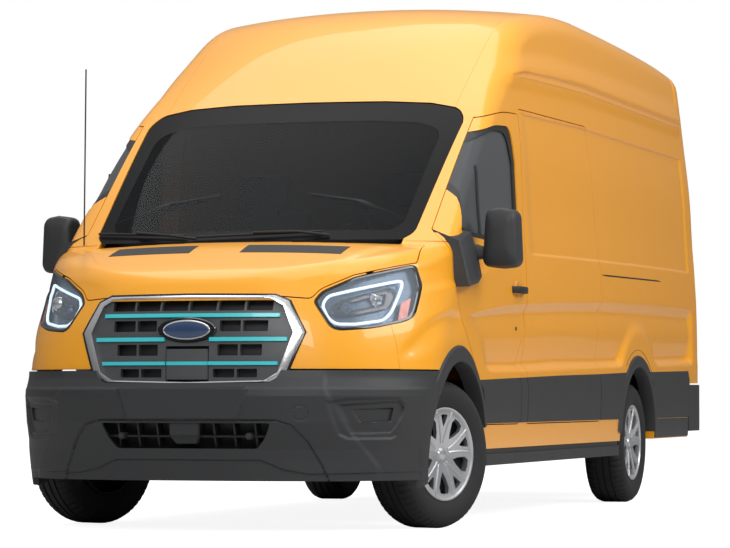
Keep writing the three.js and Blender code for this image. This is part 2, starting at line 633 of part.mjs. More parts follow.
// ---- Floor, battery and running gear -----------------------------------------------------------
const INNER_HALF = HALF_WIDTH - WALL - 8;
const TYRE_CLEARANCE = 15.5;
const WELL_HALF = TRACK_REAR / 2 - TYRE_WIDTH / 2 - TYRE_CLEARANCE;
const at = (s) => FRONT_AXLE + s;
const CARGO_START = 980;
const cargoEnd = BODY_END - WALL - 60;
const wellFrom = WHEELBASE - 452;
const wellTo = WHEELBASE + 452;
const RAIL_IN = 622;
const RAIL_OUT = 690;
const bothSides = (make) => make(1).add(make(-1));
const wellZone = (k, grow) => block(...sideSpan(k, WELL_HALF - 26 - grow, HALF_WIDTH + 50),
  at(wellFrom - 26 - grow), at(wellTo + 26 + grow), 400, 1000);
const loadFloorLow = LOAD_FLOOR_Z - FLOOR_THICK;
let floor = block(-INNER_HALF, INNER_HALF, at(CARGO_START), at(cargoEnd), loadFloorLow, LOAD_FLOOR_Z)
  .add(block(-INNER_HALF, INNER_HALF, at(CARGO_START), at(CARGO_START + 40), CAB_FLOOR_Z - 40, LOAD_FLOOR_Z))
  .add(block(-INNER_HALF, INNER_HALF, at(470), at(CARGO_START + 20), CAB_FLOOR_Z - 40, CAB_FLOOR_Z))
  .add(block(-530, 530, at(-60), at(490), CAB_FLOOR_Z - 40, CAB_FLOOR_Z))
  .add(block(-530, 530, at(-60), at(-20), CAB_FLOOR_Z - 40, 1180))
  .add(block(-900, 900, at(-60), at(-20), 780, 1180));
both.forEach((k) => {
  floor = floor.subtract(wellZone(k, GAP));
  const box = wellZone(k, 0).intersect(
    block(-INNER_HALF, INNER_HALF, at(0), at(cargoEnd), LOAD_FLOOR_Z - FLOOR_THICK, 860))
    .subtract(block(...sideSpan(k, WELL_HALF, HALF_WIDTH), at(wellFrom), at(wellTo), 400, 832));
  add(`wheel_box_${sideName(k)}`, box, { color: 0x6b6e72, roughness: 0.6, metalness: 0.3 });
});
const cabRailTop = CAB_FLOOR_Z - 40 - GAP;
const loadRailTop = LOAD_FLOOR_Z - FLOOR_THICK - GAP;
const rails = bothSides((k) => (
  block(...sideSpan(k, RAIL_IN, RAIL_OUT), at(460), at(CARGO_START), 520, cabRailTop)
  .add(block(...sideSpan(k, RAIL_IN, RAIL_OUT), at(CARGO_START - 10), at(cargoEnd), 520, cabRailTop))
  .add(block(...sideSpan(k, RAIL_IN, RAIL_OUT), at(CARGO_START + 40 + GAP), at(cargoEnd), 520, loadRailTop))
  .add(block(...sideSpan(k, 430, 500), at(-700), at(490), 470, 560))
  .add(block(...sideSpan(k, 430, RAIL_OUT), at(440), at(500), 470, cabRailTop))))
  .add(block(-640, 640, at(-720), at(-660), 450, 570));
add('chassis_rails', rails, { color: 0x3a3b3d, roughness: 0.6, metalness: 0.3 });
add('floor_pan', floor, { color: 0x6b6e72, roughness: 0.6, metalness: 0.3 });

const BATTERY_FRONT = 830;
const AXLE_BEAM_FRONT = WHEELBASE - 330;
const BATTERY_TO_BEAM = 440;
const batteryBack = AXLE_BEAM_FRONT - BATTERY_TO_BEAM;
const batteryTop = LOAD_FLOOR_Z - FLOOR_THICK - 70;
add('battery_pack', block(-BATTERY_WIDTH / 2, BATTERY_WIDTH / 2, at(BATTERY_FRONT), at(batteryBack),
  batteryTop - BATTERY_HEIGHT, batteryTop)
  .add(block(-RAIL_IN + GAP, RAIL_IN - GAP, at(BATTERY_FRONT + 100), at(batteryBack - 100),
    540, 560)), steel);
add('drive_unit', block(-230, 230, at(WHEELBASE - 280 + GAP), at(WHEELBASE + 180 - GAP), 240, 540), steel);
const HUB_IN = TRACK_REAR / 2 + HUB_REACH - 46 - GAP;
let rearGear = block(-640, 640, at(WHEELBASE + 180), at(WHEELBASE + 250), 280, 370)
  .add(block(-560, 560, at(AXLE_BEAM_FRONT), at(WHEELBASE - 280), 400, 460));
both.forEach((k) => {
  rearGear = rearGear
    .add(block(...sideSpan(k, 560, 640), at(AXLE_BEAM_FRONT), at(WHEELBASE + 250), 330, 370))
    .add(block(...sideSpan(k, 628, 684), at(AXLE_BEAM_FRONT), at(WHEELBASE - 280), 340, 520 - GAP))
    .add(block(...sideSpan(k, 540, 684), at(AXLE_BEAM_FRONT), at(WHEELBASE - 280), 400, 460))
    .add(rod([k * 620, at(WHEELBASE), AXLE_Z], [k * HUB_IN, at(WHEELBASE), AXLE_Z], 44, 12));
});
add('rear_axle', rearGear, steel);

const KINGPIN_X = TRACK_FRONT / 2 - KINGPIN_INSET;
const ARM_Z = 262;
let cradle = block(-425, 425, at(-210), at(-110), 300, 420)
  .add(block(-425, 425, at(110), at(210), 300, 420))
  .add(bothSides((k) => block(...sideSpan(k, 340, 425), at(-210), at(210), 300, 465)));
both.forEach((k) => {
  cradle = cradle.add(rod([k * 400, at(-160), 320], [k * (KINGPIN_X - 45), at(0), ARM_Z], 20, 8))
    .add(rod([k * 400, at(160), 320], [k * (KINGPIN_X - 45), at(0), ARM_Z], 20, 8))
    .add(rod([k * (KINGPIN_X - 60), at(0), ARM_Z], [k * (KINGPIN_X - 14), at(0), ARM_Z], 24, 8));
});
const railFeet = bothSides((k) => block(...sideSpan(k, 365, 429), at(-40), at(40), 420, 470 - GAP));
add('front_subframe', cradle.add(railFeet), steel);

// ---- Wheels, each turned about its own axle ------------------------------------------------------
const half = TYRE_WIDTH / 2;
const TYRE_BEAD = RIM_RADIUS + 8;
const TREAD_RADIUS = TYRE_RADIUS / Math.cos(Math.PI / 30);
const tyreProfile = [
  [TYRE_BEAD, half - 16], [285, half], [318, half - 9], [TYRE_RADIUS - 8, half - 30],
  [TREAD_RADIUS, half - 52], [TREAD_RADIUS, -half + 52], [TYRE_RADIUS - 8, -half + 30],
  [318, -half + 9], [285, -half], [TYRE_BEAD, -half + 16],
  [TYRE_BEAD, half - 16],
];
// The tread stands on one flat facet, so the vertices lie a little outside its radius.
const TYRE_SIDES = 30;
const tyre = turned(tyreProfile.reverse(), TYRE_SIDES).rotate([180 / TYRE_SIDES, 0, 0]);
const rimProfile = [
  [0, HUB_REACH - 46], [60, HUB_REACH - 46], [150, HUB_REACH - 40], [RIM_RADIUS - 16, half - 50],
  [RIM_RADIUS - 14, -half + 14], [RIM_RADIUS + 4, -half + 14], [RIM_RADIUS + 4, half - 14],
  [170, HUB_REACH - 14], [66, HUB_REACH - 6], [56, HUB_REACH - 28], [0, HUB_REACH - 30],
];
const rim = turned(rimProfile, 26);

const turnSolid = (solid, degrees) => solid.rotate([0, 0, degrees]);
function wheel(name, side, x, y, steer) {
  const face = side > 0 ? 0 : 180;
  const place = (solid) => turnSolid(solid, face + steer).translate([x, y, AXLE_Z]);
  add(`tyre_${name}`, place(tyre), { color: 0x1c1c1d, roughness: 0.9, metalness: 0 });
  add(`rim_${name}`, place(rim), { color: 0xb9bcc0, roughness: 0.35, metalness: 0.9 });
}
const turnedBy = THREE.MathUtils.degToRad(-STEER_REST);
both.forEach((k) => {
  const name = sideName(k);
  wheel(`front_${name}`, k, k * (KINGPIN_X + KINGPIN_INSET * Math.cos(turnedBy)),
    FRONT_AXLE + k * KINGPIN_INSET * Math.sin(turnedBy), -STEER_REST);
  wheel(`rear_${name}`, k, k * TRACK_REAR / 2, REAR_AXLE, 0);
  const upright = block(-14, 18, -38, 38, ARM_Z - AXLE_Z + 25, 92)
    .add(rod([0, 0, 0], [KINGPIN_INSET + HUB_REACH - 46 - GAP, 0, 0], 42, 12))
    .add(block(-14, 4, -120, 0, -30, 10));
  add(`front_knuckle_${name}`, turnSolid(upright, (k > 0 ? 0 : 180) - STEER_REST)
    .translate([k * KINGPIN_X, FRONT_AXLE, AXLE_Z]), steel);
});

// ---- Cab ---------------------------------------------------------------------------------------------
const dashProfile = outline(shifted([
  [-8, 980, 0], [-8, 1200, 20], [90, 1318, 40], [300, 1336, 60], [400, 1270, 50], [370, 960, 40],
  [200, 900, 40],
]), 2);
add('dashboard', alongX(dashProfile, -INNER_HALF + 30, INNER_HALF - 30), black);

const DRIVER_X = 415;
const SEAT_SHIFT = -110;
const seatOutline = (corners) => outline(shifted(corners.map(([s, z, r]) => [s + SEAT_SHIFT, z, r])), 2);
const seatSide = seatOutline([
  [800, 1010, 60], [1270, 985, 30], [1420, 1550, 50], [1310, 1572, 40], [1200, 1140, 60],
  [830, 1130, 50],
]);
const restSide = seatOutline([[1320, 1600, 20], [1410, 1590, 20], [1436, 1765, 40], [1350, 1780, 40]]);
function seat(name, x, width) {
  const body = alongX(seatSide, x - width / 2, x + width / 2)
    .add(alongX(restSide, x - 130, x + 130))
    .add(block(x - 70, x + 70, at(1365 + SEAT_SHIFT), at(1385 + SEAT_SHIFT), high(1530), high(1640)))
    .add(block(x - width / 2 + 40, x + width / 2 - 40, at(880 + SEAT_SHIFT), at(CARGO_START - 10),
      CAB_FLOOR_Z + GAP, 1010));
  add(name, body, { color: 0x3b3c3f, roughness: 0.9, metalness: 0 });
}
seat('driver_seat', DRIVER_X, 500);
seat('passenger_seat', -DRIVER_X, 500);

const COLUMN_ANGLE = 40;
const WHEEL_RING = 190;
const WHEEL_Y = 545;
const WHEEL_Z = 1352;
const columnTurn = THREE.MathUtils.degToRad(COLUMN_ANGLE);
const onColumn = (d) => [
  DRIVER_X, at(WHEEL_Y) + d * Math.cos(columnTurn), WHEEL_Z + d * Math.sin(columnTurn),
];
solids.dashboard = solids.dashboard.add(rod(onColumn(-250), onColumn(-92), 46, 12));
const steeringWheel = toSolid(new THREE.TorusGeometry(WHEEL_RING, 16, 6, 28))
  .add(rod([0, 0, -86], [0, 0, 10], 56, 14))
  .add(rod([-WHEEL_RING, 0, 0], [WHEEL_RING, 0, 0], 12, 6))
  .add(rod([0, -WHEEL_RING, 0], [0, 0, 0], 12, 6))
  .rotate([COLUMN_ANGLE - 90, 0, 0])
  .translate([DRIVER_X, at(WHEEL_Y), WHEEL_Z]);
add('steering_wheel', steeringWheel, black);

// ---- Outside trim that has its own body or mount ------------------------------------------------------
const MIRROR_OUT = HALF_WIDTH + 233;
const mirrorLine = outline(shifted([[214, 1240, 40], [330, 1226, 30], [338, 1500, 30], [226, 1520, 40]]), 2);
both.forEach((k) => {
  const name = sideName(k);
  const housing = alongX(mirrorLine, ...sideSpan(k, MIRROR_OUT - 196, MIRROR_OUT))
    .add(block(...sideSpan(k, HALF_WIDTH - 40, MIRROR_OUT - 160), at(220), at(300), 1286, 1342));
  add(`mirror_${name}`, housing.subtract(outer.translate([0.35 * k, 0, 0])), black);
  const stepEnds = [at(490), at(WHEELBASE - 460)];
  add(`side_step_${name}`, block(...sideSpan(k, HALF_WIDTH - 100, HALF_WIDTH - 2), ...stepEnds, 282, 338)
    .add(block(...sideSpan(k, HALF_WIDTH - 62, HALF_WIDTH - 14), ...stepEnds, 330, SILL_Z - GAP)), black);
});
const MAST_X = -(HALF_WIDTH - 134);
const MAST_Y = -89;
const MAST_TOP = 2216;
const mast = rod([MAST_X, at(MAST_Y), 1200], [MAST_X, at(MAST_Y) + 20, MAST_TOP], 4, 8)
  .add(rod([MAST_X, at(MAST_Y), 1200], [MAST_X, at(MAST_Y) + 6, 1345], 14, 10));
add('antenna', mast.subtract(outer.translate([0, 0, 0.4])), black);

const van = new THREE.Group();
van.name = 'cargo_van';
Object.entries(solids).forEach(([name, solid]) => {
  const mesh = new THREE.Mesh(toGeometry(solid), new THREE.MeshStandardMaterial(looks[name]));
  mesh.name = name;
  van.add(mesh);
});
export default van;
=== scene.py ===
import json
import math

import bpy
import numpy as np
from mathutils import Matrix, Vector

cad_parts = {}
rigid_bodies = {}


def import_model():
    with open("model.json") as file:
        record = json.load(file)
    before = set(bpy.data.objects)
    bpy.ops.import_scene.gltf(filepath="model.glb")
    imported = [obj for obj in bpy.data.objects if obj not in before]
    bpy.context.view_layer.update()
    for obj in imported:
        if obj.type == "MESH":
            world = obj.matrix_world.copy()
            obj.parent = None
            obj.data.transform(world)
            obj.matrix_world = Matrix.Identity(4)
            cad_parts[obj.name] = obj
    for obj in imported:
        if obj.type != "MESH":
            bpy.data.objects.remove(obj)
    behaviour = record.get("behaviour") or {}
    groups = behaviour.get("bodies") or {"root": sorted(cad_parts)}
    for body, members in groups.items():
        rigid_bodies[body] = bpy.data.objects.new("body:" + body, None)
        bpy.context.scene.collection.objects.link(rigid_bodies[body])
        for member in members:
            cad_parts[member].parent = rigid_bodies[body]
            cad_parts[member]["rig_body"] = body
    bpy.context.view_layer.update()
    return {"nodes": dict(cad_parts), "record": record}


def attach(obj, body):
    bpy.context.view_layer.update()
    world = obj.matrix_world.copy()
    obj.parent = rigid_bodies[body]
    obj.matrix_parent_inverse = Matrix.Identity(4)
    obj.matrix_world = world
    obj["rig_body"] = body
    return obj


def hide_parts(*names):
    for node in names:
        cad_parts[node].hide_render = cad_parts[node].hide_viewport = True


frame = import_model()

# Camera. A long lens, low down, ahead of the van and toward the driver's side.
bpy.ops.object.camera_add(
    location=(5.102, -16.463, 0.624),
    rotation=(math.radians(92.2231), 0, math.radians(17.8846)),
)
camera = bpy.context.object
camera.name = "studio_camera"
camera.data.lens = 153.99
camera.data.sensor_width = 36
camera.data.clip_end = 200
bpy.context.scene.camera = camera


# Studio. A pale floor and a pale room, lit by wide soft panels overhead, ahead and on
# the driver's side.
def new_material(name):
    made = bpy.data.materials.new(name)
    made.use_nodes = True
    nodes = made.node_tree.nodes
    shader = next(n for n in nodes if n.type == "BSDF_PRINCIPLED")
    return made, nodes, made.node_tree.links, shader


def deselect():
    bpy.ops.object.select_all(action="DESELECT")


deselect()
bpy.ops.mesh.primitive_plane_add(size=90)
floor = bpy.context.object
floor.name = "studio_floor"
floor_paint, nodes, links, shader = new_material("studio floor")
shader.inputs["Base Color"].default_value = (0.5, 0.5, 0.5, 1)
shader.inputs["Roughness"].default_value = 0.8
shader.inputs["Specular IOR Level"].default_value = 0.1
glow = nodes.new("ShaderNodeLightPath")
shader.inputs["Emission Color"].default_value = (0.9, 0.9, 0.9, 1)
links.new(glow.outputs["Is Camera Ray"], shader.inputs["Emission Strength"])
floor.data.materials.append(floor_paint)

bpy.context.scene.view_settings.view_transform = "Standard"
world = bpy.data.worlds.new("studio room")
bpy.context.scene.world = world
world.use_nodes = True
nodes, links = world.node_tree.nodes, world.node_tree.links
backdrop = nodes["Background"]
backdrop.inputs["Color"].default_value = (1.0, 1.0, 1.0, 1)
room = nodes.new("ShaderNodeBackground")
seen = nodes.new("ShaderNodeLightPath")
choose = nodes.new("ShaderNodeMixShader")
way = nodes.new("ShaderNodeTexCoord")
split = nodes.new("ShaderNodeSeparateXYZ")
ramp = nodes.new("ShaderNodeValToRGB")
ramp.color_ramp.elements[0].position = 0.0
ramp.color_ramp.elements[0].color = (0.1, 0.1, 0.1, 1)
ramp.color_ramp.elements[1].position = 0.75
ramp.color_ramp.elements[1].color = (0.62, 0.62, 0.62, 1)
links.new(way.outputs["Generated"], split.inputs["Vector"])
links.new(split.outputs["Z"], ramp.inputs["Fac"])
links.new(ramp.outputs["Color"], room.inputs["Color"])
links.new(seen.outputs["Is Camera Ray"], choose.inputs["Fac"])
links.new(room.outputs["Background"], choose.inputs[1])
links.new(backdrop.outputs["Background"], choose.inputs[2])
links.new(choose.outputs["Shader"], nodes["World Output"].inputs["Surface"])


def softbox(name, place, target, width, height, power):
    bpy.ops.object.light_add(type="AREA", location=place)
    light = bpy.context.object
    light.name = name
    light.data.shape = "RECTANGLE"
    light.data.size = width
    light.data.size_y = height
    light.data.energy = power
    aim = Vector(target) - Vector(place)
    light.rotation_euler = aim.to_track_quat("-Z", "Y").to_euler()


softbox("overhead_panel", (0.5, -1.0, 8.5), (0, -0.5, 0), 7.0, 11.0, 400)
softbox("front_panel", (3.5, -14.0, 6.5), (0, -3, 1.2), 6.0, 4.0, 520)
softbox("flank_panel", (10.0, -2.0, 6.5), (0, 0.5, 1.3), 9.0, 3.5, 540)


# Body skin. The whole body starts as one pressed steel skin. It is laid out as rows of
# points round the van, each found where a line from the middle meets the body's form,
# and hollowed to the depth of the inner panels.
MM = 0.001
HALF_WIDTH = 1004
FRONT_AXLE = -2329
REAR_FACE = 3300
BODY_END = REAR_FACE - FRONT_AXLE
ROOF_TOP = 2784
SILL_Z = 364
WALL = 68
ROOF_WALL = 42


def through(knots):
    t, v = np.array(knots, float).T
    slope = np.empty_like(v)
    slope[1:-1] = (v[2:] - v[:-2]) / (t[2:] - t[:-2])
    slope[0] = (v[1] - v[0]) / (t[1] - t[0])
    slope[-1] = (v[-1] - v[-2]) / (t[-1] - t[-2])

    def read(x):
        x = np.asarray(x, float)
        i = np.clip(np.searchsorted(t, x) - 1, 0, len(t) - 2)
        h = t[i + 1] - t[i]
        u = (x - t[i]) / h
        c = np.clip(u, 0, 1)
        curve = (
            (1 + 2 * c) * (1 - c) ** 2 * v[i]
            + c * (1 - c) ** 2 * h * slope[i]
            + c * c * (3 - 2 * c) * v[i + 1]
            + c * c * (c - 1) * h * slope[i + 1]
        )
        before = slope[0] * np.minimum(0, x - t[0])
        after = slope[-1] * np.maximum(0, x - t[-1])
        return curve + before + after

    return read


def level(knots):
    t, v = np.array(knots, float).T
    return lambda x: np.interp(x, t, v)


def ease(x, lo, hi):
    t = np.clip((x - lo) / (hi - lo), 0, 1)
    return t * t * (3 - 2 * t)


side_offset = through([
    (236, -22), (400, -2), (760, 6), (1150, 2), (1400, -11), (1561, -23),
    (1885, -41), (2210, -78), (2450, -106), (2666, -136), (2784, -160),
])
nose_tip = through([
    (236, -925), (700, -958), (900, -951), (1000, -941), (1077, -921), (1200, -880),
])
nose_depth = through([(620, 700), (860, 740), (1060, 850), (1300, 900)])
nose_power = through([(620, 2.8), (900, 2.5), (1060, 2.2), (1300, 2.2)])
bonnet_line = through([
    (-1000, 985), (-921, 1066), (-900, 1086), (-862, 1142), (-800, 1184), (-600, 1262),
    (-462, 1308), (-350, 1332), (-225, 1350),
])
screen_line = through([(-225, 1350), (250, 1722), (750, 2096)])
roof_line = through([
    (750, 2096), (1150, 2405), (1400, 2562), (1600, 2640), (1850, 2693), (2200, 2738),
    (2600, 2770), (3000, ROOF_TOP),
])
roof_fall = through([(0, 0), (1000, -6), (2000, -32), (2640, -70)])
sweep = through([
    (-925, 0), (-462, 40), (-225, 110), (750, 55), (1300, 120), (2200, 60), (3000, 0),
])
crown = through([
    (-925, 10), (-462, 36), (-225, 20), (750, 20), (1500, 45), (2200, 58), (5700, 60),
])
edge_radius = through([
    (-925, 40), (-600, 60), (-300, 75), (-100, 50), (700, 60), (1500, 95), (5700, 95),
])

# Lines pressed into the side, as heights along the van from the front axle.
waist_top = level([
    (121, 1007), (368, 1034), (865, 1074), (1286, 1096), (1912, 1120), (2194, 1131),
    (2944, 1153), (3762, 1168), (4654, 1177), (5294, 1175),
])
waist_low = level([
    (120, 981), (463, 1005), (863, 1023), (1283, 1040), (1909, 1060), (2939, 1084),
    (3474, 1088), (5218, 1097),
])
ledge_top = level([(376, 773), (1059, 779), (1897, 806), (2669, 813), (4203, 840), (5202, 861)])
ledge_low = level([(455, 734), (1060, 739), (1895, 753), (2666, 769), (4200, 791), (5264, 807)])
paint_low = level([(361, 697), (1897, 727), (2769, 740), (3511, 754), (5361, 777)])
recess_low = level([(0, 1340), (1443, 1342), (2837, 1366), (4102, 1382), (4929, 1390)])
recess_top = level([(0, 2060), (1494, 2078), (2646, 2106), (5137, 2116)])
shade_low = level([(933, 2159), (1438, 2185), (2705, 2231), (5300, 2245)])
fine_line = level([(939, 2172), (1181, 2240), (1474, 2268), (2740, 2306), (5280, 2315)])
gutter_low = level([(1187, 2253), (1487, 2296), (2100, 2322), (2755, 2336), (5354, 2338)])
gutter_top = level([(1187, 2258), (1490, 2304), (2100, 2335), (2762, 2352), (5331, 2353)])
roof_crease = level(
    [(623, 2300), (1092, 2330), (1542, 2422), (1979, 2457), (2829, 2484), (4966, 2498)],
)


def side_relief(s, z):
    # The shoulder over the door handles, the hollow under it and the ledge at its foot.
    top, low = waist_top(s), waist_low(s)
    shelf, foot = ledge_top(s), ledge_low(s)
    depth = 10 + 12 * ease(s, 100, 900)
    hollow = (low - z) / (low - shelf)
    bowl = level([(0, 0), (0.2, 6), (0.4, 9), (0.7, 2), (1, -9)])(hollow)
    shape = np.where(
        z > low,
        -depth * ease(top - z, 0, top - low),
        np.where(z > shelf, -depth + bowl, (-depth - 9) * (1 - ease(shelf - z, 0, shelf - foot))),
    )
    front_arch = np.hypot(s + 110, z - 330)
    rear_arch = np.hypot(s - 3790, z - 400)
    hollowed = np.where(s > -110, ease(front_arch, 695, 790), 0)
    hollowed = hollowed * ease(rear_arch, 580, 655) * (1 - ease(s, 5225, 5300))
    relief = shape * hollowed + 2 * (1 - ease(z, foot, shelf))
    # The crease that follows the front wheel arch.
    groove = ease(700 - front_arch, 0, 44) * ease(front_arch, 540, 654)
    relief = relief - 13 * groove * (1 - ease(s, -60, 110)) * ease(z, 770, 860)
    # The blank window panel, set in behind the door.
    sunk = ease(z, recess_low(s), recess_low(s) + 16) * ease(recess_top(s) - z, 0, 7)
    relief = relief - 8 * sunk * ease(s, 1330, 1480) * (1 - ease(s, 5240, 5262))
    # The gutter along the roof's side, the ledge below it and the fine line at its foot.
    along = ease(s, 1130, 1420) * (1 - ease(s, 5335, 5350))
    early = ease(s, 900, 1200) * (1 - ease(s, 5300, 5345))
    over = ease(z, shade_low(s), fine_line(s)) * 10 * early
    over = over + ease(z, fine_line(s), fine_line(s) + 4) * 4 * early
    over = over - ease(z, fine_line(s) + 4, gutter_low(s)) * 5 * along
    over = over + ease(z, gutter_low(s), gutter_top(s)) * 12 * along
    relief = relief + over - ease(z, gutter_top(s), roof_crease(s)) * 21 * along
    # The shoulder below the windscreen pillar.
    belt = level([(-420, 1085), (-275, 1108), (-58, 1133), (203, 1159), (700, 1250)])(s)
    step_in = ease(z, belt, belt + 40) * (1 - ease(s, 250, 700)) * (1 - ease(z, 1250, 1420))
    return relief - 9 * step_in


def rounded(a, b, radius):
    corner = radius - np.hypot(radius - a, radius - b)
    return np.where((a < radius) & (b < radius), corner, np.minimum(a, b))


def top_line(s):
    line = np.where(s < -225, bonnet_line(np.minimum(s, -225)), screen_line(np.clip(s, -225, 750)))
    line = np.where(s < 750, line, roof_line(np.clip(s, 750, 3000)))
    return np.where(s < 3000, line, ROOF_TOP + roof_fall(np.maximum(0, s - 3000)))


def body_depth(x, y, z, wall=0.0, roof_wall=0.0, pressed=True):
    s = y - FRONT_AXLE
    across = np.abs(x)
    half = HALF_WIDTH + side_offset(z)
    if pressed:
        half = half + side_relief(s, z)
    depth = nose_depth(np.clip(z, 236, 1300))
    power = nose_power(np.clip(z, 236, 1300))
    front = np.maximum(0, 1 - (s - nose_tip(np.clip(z, 236, 1200))) / depth)
    ratio = np.maximum(across, 1e-6) / half
    fill = ratio**power + front * front
    gradient = np.hypot(power * ratio ** (power - 1) / half, 2 * front / depth)
    side = (1 - fill) / np.maximum(0.0008, gradient) - wall
    out = across / (HALF_WIDTH - 140)
    line = s - sweep(np.clip(s, -925, 3000)) * out**3
    slope = (top_line(line + 5) - top_line(line - 5)) / 10
    rise = top_line(line) - crown(np.clip(s, -925, 5700)) * out**2
    if pressed:
        # A raised middle and two long creases in the bonnet.
        rise = rise + bonnet_relief(across, s)
    top = (rise - z) / np.hypot(1, slope) - roof_wall
    rear = REAR_FACE - y - wall
    radius = np.maximum(20, edge_radius(np.clip(s, -925, 5700)) - wall * 0.6)
    return rounded(rounded(side, rear, 220 - wall), top, radius)


def bonnet_relief(across, s):
    crease = level([(-900, 520), (-600, 640), (-225, 770)])(s)
    bonnet = (1 - ease(s, -330, -240)) * ease(s, -880, -760)
    return bonnet * 9 * (1 - ease(across, crease - 20, crease + 45))


def meet(field, origin, direction, reach):
    lo = np.zeros(len(origin))
    hi = np.full(len(origin), float(reach))
    for _ in range(23):
        mid = (lo + hi) / 2
        inside = field(*(origin + direction * mid[:, None]).T) > 0
        lo = np.where(inside, mid, lo)
        hi = np.where(inside, hi, mid)
    return origin + direction * lo[:, None]


def ring_rays(nose, steps):
    # One fan over the nose, parallel lines along the side, and a fan over the rear.
    face, corner, side, rear_corner, rear_face = steps
    tail = REAR_FACE - 420
    rays = [(nose, HALF_WIDTH * i / face, -620) for i in range(face + 1)]
    rays += [(nose, HALF_WIDTH, -620 * (1 - i / corner)) for i in range(1, corner)]
    rays += [(nose + (tail - nose) * i / side, 1, 0) for i in range(side + 1)]
    rays += [(tail, 1000, 420 * i / rear_corner) for i in range(1, rear_corner)]
    rays += [(tail, 1000 * i / rear_face, 420) for i in range(rear_face, -1, -1)]
    rays = np.array(rays, float)
    rays[:, 1:] /= np.hypot(rays[:, 1], rays[:, 2])[:, None]
    return rays


def grid_object(name, points, wrap=False):
    # points has a row for each line of the grid, and x, y, z in millimetres.
    rows, columns = points.shape[:2]
    deselect()
    bpy.ops.mesh.primitive_grid_add(x_subdivisions=columns - 1, y_subdivisions=rows - 1, size=1)
    made = bpy.context.object
    made.name = name
    made.data.vertices.foreach_set("co", (points * MM).astype(np.float32).ravel())
    made.data.update()
    if wrap:
        bpy.ops.object.mode_set(mode="EDIT")
        bpy.ops.mesh.select_all(action="SELECT")
        bpy.ops.mesh.remove_doubles(threshold=0.00002)
        bpy.ops.mesh.select_all(action="DESELECT")
        bpy.ops.mesh.select_mode(type="EDGE")
        bpy.ops.mesh.select_non_manifold()
        bpy.ops.mesh.edge_face_add()
        bpy.ops.mesh.select_all(action="SELECT")
        bpy.ops.mesh.normals_make_consistent(inside=False)
        bpy.ops.mesh.select_mode(type="VERT")
        bpy.ops.object.mode_set(mode="OBJECT")
    return made


def skin_object(name, field, steps, rows, caps):
    ahead = np.array([(0, 0, float(row(np.array([0.0]))[0])) for row in rows])
    noses = meet(field, ahead, np.tile([0, -1.0, 0], (len(rows), 1)), 4000)[:, 1] + 620
    origin, direction = [], []
    for row, nose in zip(rows, noses):
        rays = ring_rays(nose, steps)
        height = row(np.clip(rays[:, 0] - FRONT_AXLE, 0, 5300))
        origin.append(np.stack([0 * height, rays[:, 0], height], 1))
        direction.append(np.stack([rays[:, 1], rays[:, 2], 0 * height], 1))
    origin, direction = np.array(origin), np.array(direction)
    found = meet(field, origin.reshape(-1, 3), direction.reshape(-1, 3), 2600)
    found = found.reshape(origin.shape)
    rim = found[-1]
    nose, tail = rim[0][1] + 500, REAR_FACE - 700
    spine = np.clip(rim[:, 1], nose, tail)
    lids = []
    for share in caps:
        start = np.stack(
            [rim[:, 0] * share, spine + (rim[:, 1] - spine) * share, rim[:, 2] - 200], 1,
        )
        up = np.tile([0, 0, 1.0], (len(start), 1))
        lids.append(meet(field, start, up, 900))
    half = np.concatenate([found, np.array(lids)])
    mirror = half[:, ::-1] * np.array([-1, 1, 1])
    return grid_object(name, np.concatenate([half, mirror[:, 1:]], 1), wrap=True)


def between(low, high, count):
    return [
        (lambda s, k=k: low(s) + (high(s) - low(s)) * k / count) for k in range(count)
    ]


def flat(z):
    return lambda s: np.full_like(s, float(z))


def shift(line, by):
    return lambda s: line(s) + by


row_plan = [
    (flat(SILL_Z), 9), (shift(paint_low, -60), 4), (paint_low, 4), (ledge_low, 6),
    (ledge_top, 14), (waist_low, 8), (waist_top, 24), (flat(1240), 15), (flat(1300), 12),
    (recess_low, 7), (shift(recess_low, 25), 36), (shift(recess_top, -9), 4),
    (recess_top, 6), (shade_low, 6), (fine_line, 2), (shift(fine_line, 4), 4),
    (gutter_low, 4), (gutter_top, 9), (roof_crease, 5), (flat(2560), 0),
]
rows = []
for (line, count), (following, _) in zip(row_plan, row_plan[1:]):
    rows += between(line, following, count)
rows.append(flat(2560))
cap_shares = [0.995, 0.99, 0.98, 0.965, 0.945, 0.92, 0.89, 0.86] + [
    0.83 - 0.83 * k / 26 for k in range(1, 27)
]
outer = skin_object("outer_skin", body_depth, (36, 22, 200, 22, 16), rows, cap_shares)


def lining_depth(x, y, z):
    return body_depth(x, y, z, WALL, ROOF_WALL, pressed=False)


inner_heights = (
    300, 500, 740, 960, 1060, 1180, 1295, 1330, 1500, 1850, 2080, 2250, 2420, 2510,
)
inner_rows = [flat(z) for z in inner_heights]
inner = skin_object(
    "inner_skin", lining_depth, (8, 6, 24, 6, 4), inner_rows, [0.97, 0.92, 0.8, 0.6, 0.4, 0.2, 0]
)


def select_only(thing):
    deselect()
    thing.select_set(True)
    bpy.context.view_layer.objects.active = thing


def carve(thing, cutter, operation="DIFFERENCE"):
    select_only(thing)
    step = thing.modifiers.new("carve", "BOOLEAN")
    step.object = cutter
    step.operation = operation
    step.solver = "MANIFOLD"
    bpy.ops.object.modifier_apply(modifier=step.name)
    return thing


def copy_of(thing, name):
    made = thing.copy()
    made.data = thing.data.copy()
    made.name = name
    bpy.context.scene.collection.objects.link(made)
    return made


def discard(*things):
    for thing in things:
        bpy.data.objects.remove(thing)


shell = carve(outer, inner)
shell.name = "body_shell"


